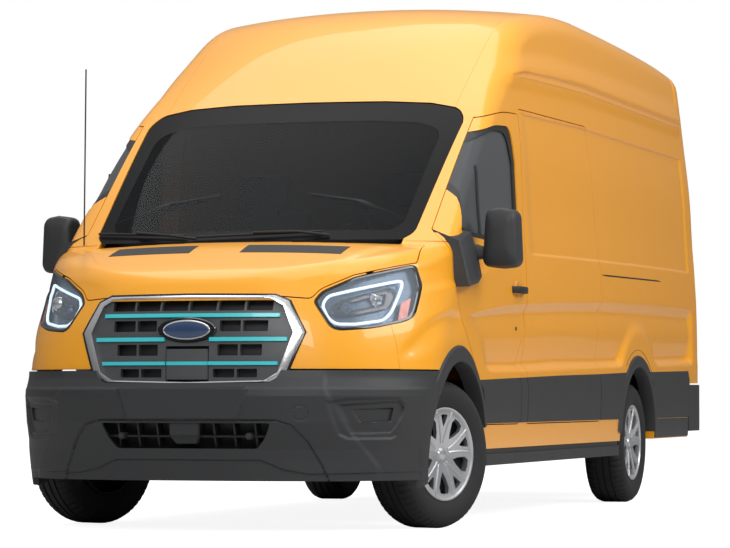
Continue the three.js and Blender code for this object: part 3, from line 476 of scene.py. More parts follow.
# Panel lines. Each panel is trimmed from the pressed skin along the lines where it
# meets its neighbours, with the gaps that let the doors move.
def outline(corners, steps=6):
    points = []
    count = len(corners)
    for i, (u, v, *rest) in enumerate(corners):
        radius = rest[0] if rest else 0
        here = np.array([u, v], float)
        if not radius:
            points.append(here)
            continue
        back = np.array(corners[i - 1][:2], float) - here
        ahead = np.array(corners[(i + 1) % count][:2], float) - here
        reach = min(radius, np.hypot(*back) * 0.48, np.hypot(*ahead) * 0.48)
        p = here + back / np.hypot(*back) * reach
        q = here + ahead / np.hypot(*ahead) * reach
        for k in range(steps + 1):
            f = k / steps
            points.append((1 - f) ** 2 * p + 2 * f * (1 - f) * here + f * f * q)
    return np.array(points)


def inset(points, by):
    before, after = np.roll(points, 1, 0), np.roll(points, -1, 0)
    area = (points[:, 0] * after[:, 1] - after[:, 0] * points[:, 1]).sum()
    a = points - before
    b = after - points
    a /= np.hypot(a[:, 0], a[:, 1])[:, None]
    b /= np.hypot(b[:, 0], b[:, 1])[:, None]
    middle = np.stack([-a[:, 1] - b[:, 1], a[:, 0] + b[:, 0]], 1)
    scale = 2 / np.maximum(0.5, (middle**2).sum(1))
    return points + middle * (np.sign(area) * by * scale)[:, None]


def prism(points, axis, lo, hi, name="cutter"):
    deselect()
    bpy.ops.mesh.primitive_circle_add(vertices=len(points), radius=1, fill_type="NGON")
    made = bpy.context.object
    made.name = name
    place = {
        "x": lambda u, v: (lo, u, v),
        "y": lambda u, v: (u, lo, v),
        "z": lambda u, v: (u, v, lo),
    }[axis]
    for vertex, (u, v) in zip(made.data.vertices, points):
        vertex.co = Vector(place(u, v)) * MM
    reach = [0, 0, 0]
    reach["xyz".index(axis)] = (hi - lo) * MM
    bpy.ops.object.mode_set(mode="EDIT")
    bpy.ops.mesh.select_all(action="SELECT")
    bpy.ops.mesh.extrude_region_move(TRANSFORM_OT_translate={"value": reach})
    bpy.ops.mesh.select_all(action="SELECT")
    bpy.ops.mesh.normals_make_consistent(inside=False)
    bpy.ops.object.mode_set(mode="OBJECT")
    return made


def block(x0, x1, y0, y1, z0, z1, name="block"):
    return prism(np.array([(x0, y0), (x1, y0), (x1, y1), (x0, y1)], float), "z", z0, z1, name)


def at(s):
    return FRONT_AXLE + s


def along(corners):
    return [(at(s), z, *rest) for s, z, *rest in corners]


def whole_width(corners):
    return list(corners) + [(-x, *rest) for x, *rest in reversed(corners) if x]


FAR = 1600
HALF_GAP = 2.5
Y_FRONT = -3352
Y_REAR = 3352
RAIL_X = HALF_WIDTH - 236
PILLAR_X = HALF_WIDTH - 128
REAR_AXLE = at(3750)
AXLE_Z = 348
ARCH_RADIUS = 440
BUMPER_TOP = 742
DOOR_ARC = 530


def arc(cy, cz, radius, start, end, steps):
    angles = [math.radians(start + (end - start) * k / steps) for k in range(steps + 1)]
    return [(cy + radius * math.cos(a), cz + radius * math.sin(a)) for a in angles]


door_line = outline(along([
    (-60, 1352, 30), (-66, 1140, 60), (24, 1004, 60), (150, 880, 60),
    *arc(-50, 345, DOOR_ARC, 50, 15, 8),
    (1085, 480, 60), (1085, 800, 80), (1236, 960, 80), (1246, 1500), (1300, 2064, 40),
    (1020, 2052, 100), (780, 2018, 120), (500, 1945, 160), (60, 1500, 60),
]))
window_line = outline(along([
    (92, 1402, 20), (300, 1384), (1160, 1366, 30), (1160, 1800), (1118, 1986, 90),
    (800, 1968, 100), (560, 1912, 80), (300, 1740, 80),
]))
cargo_line = outline(along([
    (1220, 480, 30), (1220, 900), (1246, 960, 60), (1256, 1500), (1310, 2092, 40),
    (2790, 2120, 60), (2870, 1300, 60), (2870, 1120, 60), (2790, 1060, 60), (2810, 900, 60),
    (2757, 760, 60), (2800, 640), (2790, 480, 30),
]))
fender_line = outline(along([
    (-1300, 200), (448, 200), (470, 478), (300, 900), (0, 1348), (-128, 1348, 20),
    (-150, 1700), (-1300, 1700),
]))
screen_hole = outline(whole_width([
    (0, 2100), (400, 2096), (640, 2082), (790, 2052, 40), (836, 1990, 30), (806, 1392, 30),
    (760, 1358),
]))
bonnet_front = outline(whole_width([
    (925, 1900), (925, 1252), (905, 1234), (700, 1170), (577, 1104, 30), (547, 1060, 20),
    (416, 1070), (0, 1083),
]))
rear_edge = [
    (x, at(-256 + 108 * (abs(x) / 864) ** 3)) for x in np.linspace(860, -860, 17)
]
bonnet_plan = outline([
    (-906, at(-1200)), (906, at(-1200)), (906, at(-330)), (884, at(-158)), *rear_edge,
    (-884, at(-158)), (-906, at(-330)),
])
grille_line = outline(whole_width([(420, 1052, 40), (528, 904, 30), (426, 692, 40)]))
lamp_corners = [
    (557, 1046, 15), (583, 1092, 20), (704, 1160), (904, 1226, 20), (936, 1120, 40),
    (930, 968, 40), (800, 926, 40), (648, 914, 40),
]

screen_cut = prism(inset(screen_hole, -3), "y", at(-235), at(1400))
bonnet_cut = prism(inset(bonnet_front, -HALF_GAP), "y", Y_FRONT - 50, at(100))
carve(bonnet_cut, prism(inset(bonnet_plan, -HALF_GAP), "z", 900, 1700), "INTERSECT")
nose_cut = block(-FAR, FAR, Y_FRONT - 100, at(80), 100, BUMPER_TOP)
door_head = 2566
rear_door_cut = block(-802.5, 802.5, REAR_FACE - 108, REAR_FACE + 60, 697.5, door_head + 3)
tail_cut = block(-FAR, FAR, at(BODY_END - 478), Y_REAR + 100, 100, 700)
light_cut = block(833, 1100, REAR_FACE - 129, REAR_FACE + 50, 949, 1441)
lamp_cut = prism(inset(outline(lamp_corners), -2), "y", Y_FRONT - 50, at(-200))
grille_cut = prism(inset(grille_line, -1), "y", Y_FRONT - 50, at(-500))


def wheel_arch(y):
    deselect()
    bpy.ops.mesh.primitive_cylinder_add(
        vertices=96, radius=ARCH_RADIUS * MM, depth=4,
        location=(0, y * MM, AXLE_Z * MM), rotation=(0, math.pi / 2, 0),
    )
    made = bpy.context.object
    bpy.ops.object.transform_apply()
    return made


front_arch_cut = wheel_arch(FRONT_AXLE)
rear_arch_cut = wheel_arch(REAR_AXLE)

side = carve(copy_of(shell, "side"), block(RAIL_X + 1, FAR, -4000, 4000, 100, 2900), "INTERSECT")
door_stock = copy_of(side, "door_stock")
for cutter in (
    bonnet_cut, screen_cut, rear_door_cut, nose_cut, front_arch_cut, rear_arch_cut, tail_cut,
):
    carve(side, cutter)


# Paint. A bright amber gloss under clear coat, with the faint orange peel of sprayed
# paint. The panels are painted on both faces.
def grain_group():
    made = bpy.data.node_groups.new("surface grain", "ShaderNodeTree")
    for label, kind, way in (
        ("Size", "NodeSocketFloat", "INPUT"), ("Depth", "NodeSocketFloat", "INPUT"),
        ("Roughness", "NodeSocketFloat", "INPUT"), ("Spread", "NodeSocketFloat", "INPUT"),
        ("Roughness", "NodeSocketFloat", "OUTPUT"), ("Normal", "NodeSocketVector", "OUTPUT"),
    ):
        made.interface.new_socket(name=label, in_out=way, socket_type=kind)
    nodes, links = made.nodes, made.links
    given, out = nodes.new("NodeGroupInput"), nodes.new("NodeGroupOutput")
    place = nodes.new("ShaderNodeTexCoord")
    fine = nodes.new("ShaderNodeTexNoise")
    fine.inputs["Detail"].default_value = 3
    wide = nodes.new("ShaderNodeTexNoise")
    wide.inputs["Scale"].default_value = 3.5
    bump = nodes.new("ShaderNodeBump")
    bump.inputs["Distance"].default_value = 0.001
    links.new(place.outputs["Object"], fine.inputs["Vector"])
    links.new(place.outputs["Object"], wide.inputs["Vector"])
    links.new(given.outputs["Size"], fine.inputs["Scale"])
    links.new(fine.outputs["Fac"], bump.inputs["Height"])
    links.new(given.outputs["Depth"], bump.inputs["Strength"])
    centred = nodes.new("ShaderNodeMath")
    centred.operation = "SUBTRACT"
    centred.inputs[1].default_value = 0.5
    spread = nodes.new("ShaderNodeMath")
    spread.operation = "MULTIPLY_ADD"
    links.new(wide.outputs["Fac"], centred.inputs[0])
    links.new(centred.outputs[0], spread.inputs[0])
    links.new(given.outputs["Spread"], spread.inputs[1])
    links.new(given.outputs["Roughness"], spread.inputs[2])
    links.new(spread.outputs[0], out.inputs["Roughness"])
    links.new(bump.outputs["Normal"], out.inputs["Normal"])
    return made


surface_grain = grain_group()


def finish(name, colour, roughness, size=900, depth=0.1, spread=0.08, metallic=0.0, coat=0.0):
    made, nodes, links, shader = new_material(name)
    shader.inputs["Base Color"].default_value = (*colour, 1)
    shader.inputs["Metallic"].default_value = metallic
    shader.inputs["Coat Weight"].default_value = coat
    shader.inputs["Coat Roughness"].default_value = 0.03
    grain = nodes.new("ShaderNodeGroup")
    grain.node_tree = surface_grain
    for label, value in (
        ("Size", size), ("Depth", depth), ("Roughness", roughness), ("Spread", spread),
    ):
        grain.inputs[label].default_value = value
    links.new(grain.outputs["Roughness"], shader.inputs["Roughness"])
    links.new(grain.outputs["Normal"], shader.inputs["Normal"])
    return made


paint = finish("amber gloss paint", (0.97, 0.40, 0.009), 0.36, 260, 0.02, 0.04, coat=0.5)
dark_plastic = finish("grained dark grey plastic", (0.026, 0.027, 0.029), 0.5, 1500, 0.35)
black_plastic = finish("matt black plastic", (0.012, 0.012, 0.013), 0.55, 1500, 0.25)
gloss_black = finish("gloss black plastic", (0.008, 0.008, 0.009), 0.16, 400, 0.02, coat=0.6)
chassis_paint = finish("satin chassis paint", (0.02, 0.02, 0.022), 0.55, 300, 0.2)
cast_metal = finish("cast aluminium", (0.42, 0.43, 0.45), 0.5, 700, 0.4, metallic=1.0)
tyre_rubber = finish("tyre rubber", (0.014, 0.014, 0.015), 0.75, 1200, 0.35)
rim_silver = finish("satin silver wheel paint", (0.62, 0.63, 0.65), 0.3, 900, 0.05, metallic=0.85)
seat_cloth = finish("charcoal seat cloth", (0.03, 0.03, 0.033), 0.9, 2200, 0.6)
red_lens = finish("red lamp lens", (0.35, 0.008, 0.01), 0.12, 400, 0.02, coat=0.8)


def glazing(name, colour, alpha, roughness=0.02):
    made, nodes, links, shader = new_material(name)
    shader.inputs["Base Color"].default_value = (*colour, 1)
    shader.inputs["Roughness"].default_value = roughness
    shader.inputs["Alpha"].default_value = alpha
    shader.inputs["Specular IOR Level"].default_value = 0.06
    return made


tinted_glass = glazing("tinted glass", (0.004, 0.005, 0.006), 0.58)
clear_lens = glazing("clear lamp lens", (0.45, 0.52, 0.6), 0.13)
slot_looks = {
    "paint": paint, "dark_plastic": dark_plastic, "black_plastic": black_plastic,
    "gloss_black": gloss_black, "glass": tinted_glass, "lamp_clear": clear_lens,
    "lamp_red": red_lens, "chassis": chassis_paint, "cast_metal": cast_metal,
    "tyre": tyre_rubber, "rim": rim_silver, "seat_cloth": seat_cloth,
}
for part in frame["record"]["subparts"]:
    node = frame["nodes"][part["node"]]
    node.data.materials.clear()
    node.data.materials.append(slot_looks[part["material_slot"]])


# Body panels. The left-hand ones are trimmed from the side and the right-hand ones are
# their mirror images. All are painted steel, welded, bolted or hung on the body.
def smooth(thing, degrees=32):
    select_only(thing)
    bpy.ops.object.shade_smooth_by_angle(angle=math.radians(degrees), keep_sharp_edges=False)


def dress(thing, *looks):
    thing.data.materials.clear()
    for look in looks:
        thing.data.materials.append(look)


def mirrored(thing, name):
    made = copy_of(thing, name)
    select_only(made)
    bpy.ops.object.mode_set(mode="EDIT")
    bpy.ops.mesh.select_all(action="SELECT")
    bpy.ops.transform.mirror(
        orient_matrix=((1, 0, 0), (0, 1, 0), (0, 0, 1)), orient_type="GLOBAL",
        constraint_axis=(True, False, False), center_override=(0, 0, 0),
    )
    bpy.ops.mesh.flip_normals()
    bpy.ops.object.mode_set(mode="OBJECT")
    return made


def hang(thing, body, slot_name, *nodes, looks=()):
    if looks:
        dress(thing, *looks)
    smooth(thing)
    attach(thing, body)
    if nodes:
        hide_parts(*nodes)
    return thing


def on_both_sides(thing, name, body, slot_name, *nodes, looks=()):
    # body and nodes may end in {side}, for a piece that moves with a door or a wheel.
    if looks:
        dress(thing, *looks)
    for side_name, made in (("left", thing), ("right", mirrored(thing, "copy"))):
        made.name = f"{name}_{side_name}"
        hang(
            made, body.format(side=side_name), slot_name,
            *[n.format(side=side_name) for n in nodes],
        )


fender_area = prism(fender_line, "x", 300, FAR)
door_hole = prism(inset(door_line, -HALF_GAP), "x", PILLAR_X, FAR)
fender = carve(copy_of(side, "fender"), fender_area, "INTERSECT")
carve(fender, door_hole)
carve(fender, block(-967, 967, Y_FRONT - 50, at(-608), 600, 1300))
carve(fender, lamp_cut)
on_both_sides(fender, "fender_panel", "body", "paint", "front_fender_{side}", looks=(paint,))

frame_side = copy_of(side, "frame_side")
carve(frame_side, prism(inset(fender_line, -1.5), "x", 300, FAR))
carve(frame_side, door_hole)
carve(frame_side, prism(inset(cargo_line, -HALF_GAP), "x", 300, FAR))
carve(frame_side, light_cut)
on_both_sides(frame_side, "side_frame", "body", "paint", "body_side_{side}", looks=(paint,))

cargo = carve(
    copy_of(door_stock, "cargo"), prism(inset(cargo_line, HALF_GAP), "x", 300, FAR),
    "INTERSECT",
)
dress(cargo, paint)
for side_name, made in (("left", cargo), ("right", mirrored(cargo, "copy"))):
    made.name = f"load_panel_{side_name}"
    hang(
        made, "body", "paint",
        "cargo_side_panel_left" if side_name == "left" else "sliding_door_right",
    )

door = carve(
    copy_of(door_stock, "door"), prism(inset(door_line, HALF_GAP), "x", PILLAR_X + 4, FAR),
    "INTERSECT",
)
carve(door, prism(window_line, "x", 300, FAR))
on_both_sides(door, "cab_door", "front_door_{side}", "paint", "front_door_{side}", looks=(paint,))

bonnet = copy_of(shell, "bonnet_panel")
carve(bonnet, prism(inset(bonnet_front, HALF_GAP), "y", Y_FRONT - 50, at(100)), "INTERSECT")
carve(bonnet, prism(inset(bonnet_plan, HALF_GAP), "z", 900, 1700), "INTERSECT")
hang(bonnet, "bonnet", "paint", "bonnet", looks=(paint,))

face = carve(
    copy_of(shell, "nose_panel"),
    block(-965, 965, Y_FRONT - 50, at(-610), BUMPER_TOP + 1, 1300), "INTERSECT",
)
lamp_cut_right = mirrored(lamp_cut, "lamp_cut_right")
for cutter in (bonnet_cut, lamp_cut, lamp_cut_right, grille_cut):
    carve(face, cutter)
hang(face, "body", "paint", "front_panel", looks=(paint,))

roof = carve(
    copy_of(shell, "roof_panel"), block(-RAIL_X, RAIL_X, at(0), Y_REAR + 100, 2060, 2900),
    "INTERSECT",
)
carve(roof, screen_cut)
carve(roof, rear_door_cut)
hang(roof, "body", "paint", "roof", looks=(paint,))

rear_door = carve(
    copy_of(shell, "rear_door"),
    block(5, 797.5, REAR_FACE - 98, REAR_FACE + 50, 702.5, door_head - 3), "INTERSECT",
)
on_both_sides(
    rear_door, "tail_door", "rear_door_{side}", "paint", "rear_door_{side}", looks=(paint,),
)

# Front bumper. One piece of grained dark grey plastic that wraps the nose, with a raised
# pad for a blank plate, pressed-in corner recesses and a mouth for the lower air intake.
def turned(name, profile, place, aim, steps=72):
    # profile has (radius, distance along the aim) pairs and closes on itself.
    aim = np.array(aim, float) / np.linalg.norm(aim)
    flat_side = np.cross(aim, (0, 0, 1.0))
    flat_side /= np.linalg.norm(flat_side)
    up = np.cross(flat_side, aim)
    rows = []
    for k in range(steps + 1):
        a = 2 * math.pi * (k % steps) / steps
        spoke = flat_side * math.cos(a) + up * math.sin(a)
        rows.append([np.array(place) + spoke * r + aim * h for r, h in profile])
    return grid_object(name, np.array(rows), wrap=True)


def cord(name, path, radius, sides=8, closed=False):
    path = np.array(path, float)
    if closed:
        path = np.concatenate([path, path[:1]])
    ahead = np.gradient(path, axis=0)
    if closed:
        ahead[0] = ahead[-1] = path[1] - path[-2]
    ahead /= np.linalg.norm(ahead, axis=1)[:, None]
    lean = np.array([0.13, 0.21, 0.97]) if abs(ahead[:, 2]).mean() < 0.7 else np.array(
        [0.2, 0.97, 0.1],
    )
    side_way = np.cross(ahead, lean)
    side_way /= np.linalg.norm(side_way, axis=1)[:, None]
    up = np.cross(side_way, ahead)
    rows = []
    for k in range(sides + 1):
        a = 2 * math.pi * (k % sides) / sides
        rows.append(path + radius * (math.cos(a) * side_way + math.sin(a) * up))
    return grid_object(name, np.array(rows), wrap=True)


def loft(name, sections):
    # Each section is a closed loop of x, y, z points.
    sections = np.array(sections, float)
    return grid_object(name, np.concatenate([sections, sections[:, :1]], 1), wrap=True)


def distance_to(x, z, corners, closed=True):
    # Distance to a line of straight pieces, positive inside it when it is closed.
    best = np.full(np.shape(x), 1e9)
    inside = np.zeros(np.shape(x), bool)
    points = list(corners) + ([corners[0]] if closed else [])
    for (ax, az), (bx, bz) in zip(points, points[1:]):
        length = (bx - ax) ** 2 + (bz - az) ** 2
        t = np.clip(((x - ax) * (bx - ax) + (z - az) * (bz - az)) / length, 0, 1)
        best = np.minimum(best, np.hypot(x - ax - t * (bx - ax), z - az - t * (bz - az)))
        if bz != az:
            crosses = (az > z) != (bz > z)
            inside ^= crosses & (x < ax + (z - az) * (bx - ax) / (bz - az))
    return np.where(inside, best, -best) if closed else best


bumper_tip = level([
    (236, -950), (330, -958), (380, -965), (500, -1003), (620, -1021), (650, -1017),
    (664, -1004), (700, -984), (742, -968),
])
corner_edge = level([(300, 830), (425, 753), (485, 713), (658, 638), (722, 629), (745, 628)])
recess_line = [
    (647, 596), (732, 613), (916, 616), (936, 582), (932, 547), (903, 437), (882, 423),
    (721, 424), (687, 445), (668, 507),
]
recess_mid = [(689, 582), (911, 599), (929, 568), (901, 485), (879, 451), (735, 448), (705, 534)]
recess_deep = [(742, 558), (890, 568), (877, 506), (771, 500)]
apron_line = [(0, 515), (430, 512), (499, 490), (559, 419), (617, 308), (640, 236)]
apron_top = level(apron_line)
skirt_top = level([(0, 333), (345, 333), (400, 312), (450, 290), (560, 270), (900, 276)])


def bumper_points(x, z, lift=0.0, pressed=True):
    across = np.abs(x)
    half = HALF_WIDTH + 10 - lift
    ratio = np.clip(across / half, 0, 1)
    s = bumper_tip(z) + lift + 700 * (1 - np.sqrt(np.maximum(0, 1 - ratio**2.8)))
    if pressed:
        s = s + 10 * ease(across, corner_edge(z) - 6, corner_edge(z) + 16) * ease(760 - z, 0, 60)
        pad = level([(515, 262), (649, 305), (700, 318)])(z)
        plate = ease(pad + 10 - across, 0, 14) * ease(z, 506, 516) * ease(664 - z, 0, 12)
        s = s * (1 - plate) - 1023 * plate
        apron = distance_to(across, z, apron_line, closed=False)
        s = s + 5 * (1 - ease(apron, 1, 6))
        s = s + 7 * (z < apron_top(across))
        s = s + 14 * ease(distance_to(across, z, recess_line), -2, 14)
        s = s + 14 * ease(distance_to(across, z, recess_mid), -2, 10)
        s = s + 22 * ease(distance_to(across, z, recess_deep), -2, 8)
        s = s + 9 * ease(skirt_top(across) - z, -2, 3)
        cap = np.hypot(x - 540, z - 545)
        s = s + 3.5 * (1 - ease(np.abs(cap - 33), 0.8, 3.2))
    return np.stack([x, at(s), z], -1)


angles = np.linspace(-1, 1, 341)
reach = np.sign(angles) * (1 - (1 - np.abs(angles)) ** 1.5) ** (1 / 1.15)
heights = np.concatenate(
    [np.linspace(238, 640, 101), np.linspace(643, 668, 10), np.linspace(674, 736, 10)],
)
outside = bumper_points(*np.meshgrid(reach * 1010, heights, indexing="ij"))
inside_z = np.linspace(730, 244, 12)
inside = bumper_points(*np.meshgrid(reach * 975, inside_z, indexing="ij"), lift=26, pressed=False)
loops = np.concatenate([outside, inside, outside[:, :1]], 1)
ends = []
for k in (0, -1):
    back = loops[k].copy()
    back[:, 1] = at(-110)
    back[:, 0] = np.sign(back[:, 0]) * np.maximum(np.abs(back[:, 0]), 1003)
    inner_rows_at = slice(len(heights), len(heights) + len(inside_z))
    back[inner_rows_at, 0] = np.sign(back[inner_rows_at, 0]) * 976
    ends.append(back[None])
bumper = grid_object("front_bumper_cover", np.concatenate([ends[0], loops, ends[1]]), wrap=True)
mouth_line = outline(whole_width([(408, 499, 16), (378, 432, 10), (338, 383, 16)]))
for cutter in (
    front_arch_cut, prism(mouth_line, "y", Y_FRONT - 80, at(-700)),
    prism(
        inset(outline(whole_width([(420, 1052, 40), (531, 904, 30), (424, 676, 40)])), 4), "y",
        Y_FRONT - 80, at(-850),
    ),
):
    carve(bumper, cutter)
hang(bumper, "body", "dark_plastic", "front_bumper", looks=(dark_plastic,))


# Lower intake. A black tray behind the bumper's mouth, with upright fins, one cross bar,
# a sloping radar cover in the middle and two round parking sensors.
def band(name, x0, x1, low, high, front, thick, count=24):
    # front gives y at x and z. low and high are heights, or give them at x.
    xs = np.linspace(x0, x1, count)
    lo = low(xs) if callable(low) else np.full(count, float(low))
    hi = high(xs) if callable(high) else np.full(count, float(high))
    edge = np.minimum(2.0, (hi - lo) / 4)
    loops = []
    for x, a, b, e in zip(xs, lo, hi, edge):
        ya, yb = front(x, a), front(x, b)
        loops.append([
            (x, ya + thick, a), (x, ya + e, a), (x, ya, a + e), (x, yb, b - e),
            (x, yb + e, b), (x, yb + thick, b),
        ])
    return loft(name, loops)


def bumper_y(back):
    return lambda x, z: float(bumper_points(np.array(x), np.array(z), pressed=False)[1]) + back


tray = band("intake_tray", -415, 415, 376, 506, bumper_y(95), 6)
hang(tray, "body", "black_plastic", looks=(black_plastic,))
fins = []
for x in (-330, -232, -137, 137, 232, 330):
    fins.append(band("intake_fin", x - 4, x + 4, 386, 500, bumper_y(34), 60, 2))
fins.append(band("intake_bar", -386, 386, 434, 444, bumper_y(30), 50))
fins.append(band("intake_lip", -345, 345, 372, 384, bumper_y(8), 90))
for k, fin in enumerate(fins):
    fin.name = f"intake_fin_{k}"
    hang(fin, "body", "black_plastic", looks=(black_plastic if k < 7 else dark_plastic,))
radar = loft("radar_cover", [
    [(x, at(-985 + lift), 504), (x * 0.98, at(-982 + lift), 446), (x * 0.92, at(-966 + lift), 430),
     (x * 0.7, at(-952 + lift), 406), (x * 0.7, at(-900), 406), (x, at(-900), 504)]
    for x, lift in ((-74, 8), (-68, 0), (68, 0), (74, 8))
])
hang(radar, "body", "dark_plastic", looks=(dark_plastic,))
sensor_profile = [(0, 0), (9, 0), (11, 2), (11.5, 6), (14, 6), (16, 9), (16, 60), (0, 60)]
for side_name, x in (("left", 306), ("right", -306)):
    sensor = turned(
        f"parking_sensor_{side_name}", sensor_profile, (x, at(-982), 441), (0, 1, 0), 32
    )
    hang(sensor, "body", "dark_plastic", looks=(dark_plastic,))


# Wheel arch mouldings and lower claddings. Grained dark grey strips clipped along the
# foot of the body. The length under the cab door opens with the door.
def skin_x(s, z, pressed=True):
    s, z = np.broadcast_arrays(np.asarray(s, float), np.asarray(z, float))
    origin = np.stack([0 * s, at(s), z], -1).reshape(-1, 3)
    direction = np.tile([1.0, 0, 0], (len(origin), 1))
    field = body_depth if pressed else (lambda x, y, z: body_depth(x, y, z, pressed=False))
    return meet(field, origin, direction, 1200)[:, 0].reshape(s.shape)


def moulding(name, centre, start, end, inner_radius, outer_radius):
    turn = np.radians(np.linspace(start, end, 91))
    degrees = np.degrees(turn)
    outer_reach = outer_radius(degrees)
    loops = []
    for share, lift in ((0, -66), (0, 5), (0.06, 12), (0.5, 13), (0.88, 11), (1, 2), (1, -22)):
        radius = inner_radius + (outer_reach - inner_radius) * share
        s, z = centre + radius * np.cos(turn), AXLE_Z + radius * np.sin(turn)
        loops.append(np.stack([skin_x(s, z, pressed=False) + lift, at(s), z], -1))
    return loft(name, np.array(loops).transpose(1, 0, 2))


front_moulding = moulding(
    "front_arch_moulding", 0, 16, 197, 433,
    lambda a: 474 + (511 - 474) * ease(a, 45, 85),
)
on_both_sides(front_moulding, "front_arch_moulding", "body", "dark_plastic", looks=(dark_plastic,))
rear_moulding = moulding("rear_arch_moulding", 3750, 8, 172, 437, lambda a: 508 + 0 * a)
on_both_sides(rear_moulding, "rear_arch_moulding", "body", "dark_plastic", looks=(dark_plastic,))
seam_line = cord(
    "rear_arch_seam",
    [(skin_x(s, z) + 0.4, at(s), z) for s, z in arc(3750, AXLE_Z, 540, 45, 125, 40)], 1.3, 6,
)
on_both_sides(seam_line, "rear_arch_seam", "body", "black_plastic", looks=(black_plastic,))
chamfer = level([(461, 648), (1901, 667), (2876, 680), (3433, 694), (4291, 710), (5397, 722)])
CLADDING_LOW = 487


def cladding(name, start, end, steps):
    loops = []
    for share in np.linspace(0, 1, steps):
        loop = []
        for kind, lift in (
            ("foot", -20), ("foot", 3), ("foot", 9), ("edge", 13), ("top", 3), ("top", -20),
        ):
            z = CLADDING_LOW + (4 if lift == 9 else 0)
            s = start(z) + (end(z) - start(z)) * share
            for _ in range(3):
                z = {"foot": z, "edge": float(chamfer(s)), "top": float(paint_low(s)) + 1}[kind]
                s = start(z) + (end(z) - start(z)) * share
            loop.append((kind, lift, s, z))
        s, z = np.array([p[2] for p in loop]), np.array([p[3] for p in loop])
        x = skin_x(s, z, pressed=False) + [p[1] for p in loop]
        loops.append(np.stack([x, at(s), z], -1))
    return loft(name, loops)


def door_front(z):
    return -50 + math.sqrt((DOOR_ARC - 6) ** 2 - (z - 345) ** 2)


def arch_side(centre, way):
    return lambda z: centre + way * math.sqrt(max(0, 500**2 - (z - AXLE_Z) ** 2))


pieces = (
    ("door_cladding", door_front, lambda z: 1082, 20, "front_door_{side}"),
    ("step_cladding", lambda z: 1088, lambda z: 1216, 4, "body"),
    ("load_cladding", lambda z: 1223, lambda z: 2786, 30, "body"),
    ("rear_cladding", lambda z: 2795, arch_side(3750, -1), 10, "body"),
    ("tail_cladding", arch_side(3750, 1), lambda z: 5140, 16, "body"),
)
for name, start, end, steps, rides_on in pieces:
    piece = cladding(name, start, end, steps)
    on_both_sides(piece, name, rides_on, "dark_plastic", looks=(dark_plastic,))


# Radiator grille. Moulded slats in satin grey with rows of dark openings, three painted
# accent strips, a bright trim round the edge and a blank oval badge in the middle.
def nose_y(x, z):
    x, z = np.broadcast_arrays(np.asarray(x, float), np.asarray(z, float))
    origin = np.stack([x, 0 * x + at(-60), z], -1).reshape(-1, 3)
    found = meet(body_depth, origin, np.tile([0, -1.0, 0], (len(origin), 1)), 1000)
    return found[:, 1].reshape(x.shape)


def sheet(name, x0, x1, low, high, back, thick, columns=30, rows=6, front=nose_y):
    # A sheet that follows the nose, set back by so much and so thick.
    xs = np.linspace(x0, x1, columns)
    lo = low(xs) if callable(low) else np.full(columns, float(low))
    hi = high(xs) if callable(high) else np.full(columns, float(high))
    z = lo[:, None] + (hi - lo)[:, None] * np.linspace(0, 1, rows)
    x = np.repeat(xs[:, None], rows, 1)
    y = front(x, z) + back
    face = np.stack([x, y, z], -1)
    rear = np.stack([x, y + thick, z], -1)[:, ::-1]
    return loft(name, np.concatenate([face, rear], 1))


def dense(points, count=6):
    points = np.array([p[:2] for p in points], float)
    ahead = np.roll(points, -1, 0)
    steps = np.linspace(0, 1, count, endpoint=False)[None, :, None]
    return (points[:, None] + (ahead - points)[:, None] * steps).reshape(-1, 2)


def ribbon(name, outer_line, inner_line, front, depth, crowned=3.0):
    # A trim strip between two outlines with the same number of points.
    middle = (outer_line + inner_line) / 2
    loops = []
    for line, out in (
        (outer_line, depth), (outer_line, crowned), (middle, 0), (inner_line, crowned),
        (inner_line, depth),
    ):
        loops.append(
            np.stack([line[:, 0], nose_y(line[:, 0], line[:, 1]) + front + out, line[:, 1]], -1),
        )
    loops = np.array(loops).transpose(1, 0, 2)
    return loft(name, np.concatenate([loops, loops[:1]]))


accent = finish("turquoise accent paint", (0.055, 0.62, 0.68), 0.3, 700, 0.05, coat=0.4)
bright_trim = finish("satin bright trim", (0.72, 0.73, 0.75), 0.22, 500, 0.03, metallic=0.95)
slat_grey = finish("satin grey slats", (0.075, 0.078, 0.083), 0.38, 900, 0.15)
badge_blue = finish("blank badge face", (0.02, 0.05, 0.13), 0.25, 500, 0.03, coat=0.8)
high_edge = level([(-530, 905), (-457, 1040), (-395, 1066), (395, 1066), (457, 1040), (530, 905)])
low_edge = level([(-530, 903), (-458, 722), (-392, 685), (392, 685), (458, 722), (530, 903)])
grille_back = sheet("grille_back", -520, 520, low_edge, high_edge, 62, 5, 60, 8)
hang(grille_back, "body", "black_plastic", looks=(black_plastic,))
slats = sheet("grille_slats", -512, 512, low_edge, high_edge, 14, 30, 70, 10)
openings = []
for row_low, row_high, edges in (
    (1006, 1052, (4, 132, 142, 261, 271, 388)), (912, 962, (152, 250, 260, 373)),
    (803, 854, (144, 240, 250, 350)), (704, 743, (124, 226, 236, 330)),
):
    for x0, x1 in zip(edges[::2], edges[1::2]):
        openings.append([(x0, row_low, 5), (x1, row_low, 5), (x1, row_high, 5), (x0, row_high, 5)])
for corners in openings:
    for way in (1, -1):
        opening = outline([(way * x, z, radius) for x, z, radius in corners], 3)
        carve(slats, prism(opening, "y", Y_FRONT, at(-780)))
carve(slats, block(-104, 104, Y_FRONT, at(-780), 600, 846))
hang(slats, "body", "gloss_black", "grille", looks=(slat_grey,))
for k, (x0, x1, low, high) in enumerate((
    (-424, 424, 977, 994), (-462, -108, 868, 886), (108, 462, 868, 886), (-424, -104, 760, 776),
    (104, 424, 760, 776),
)):
    strip = sheet(f"accent_strip_{k}", x0, x1, low, high, 2, 16, 24, 3)
    hang(strip, "body", "gloss_black", looks=(accent,))
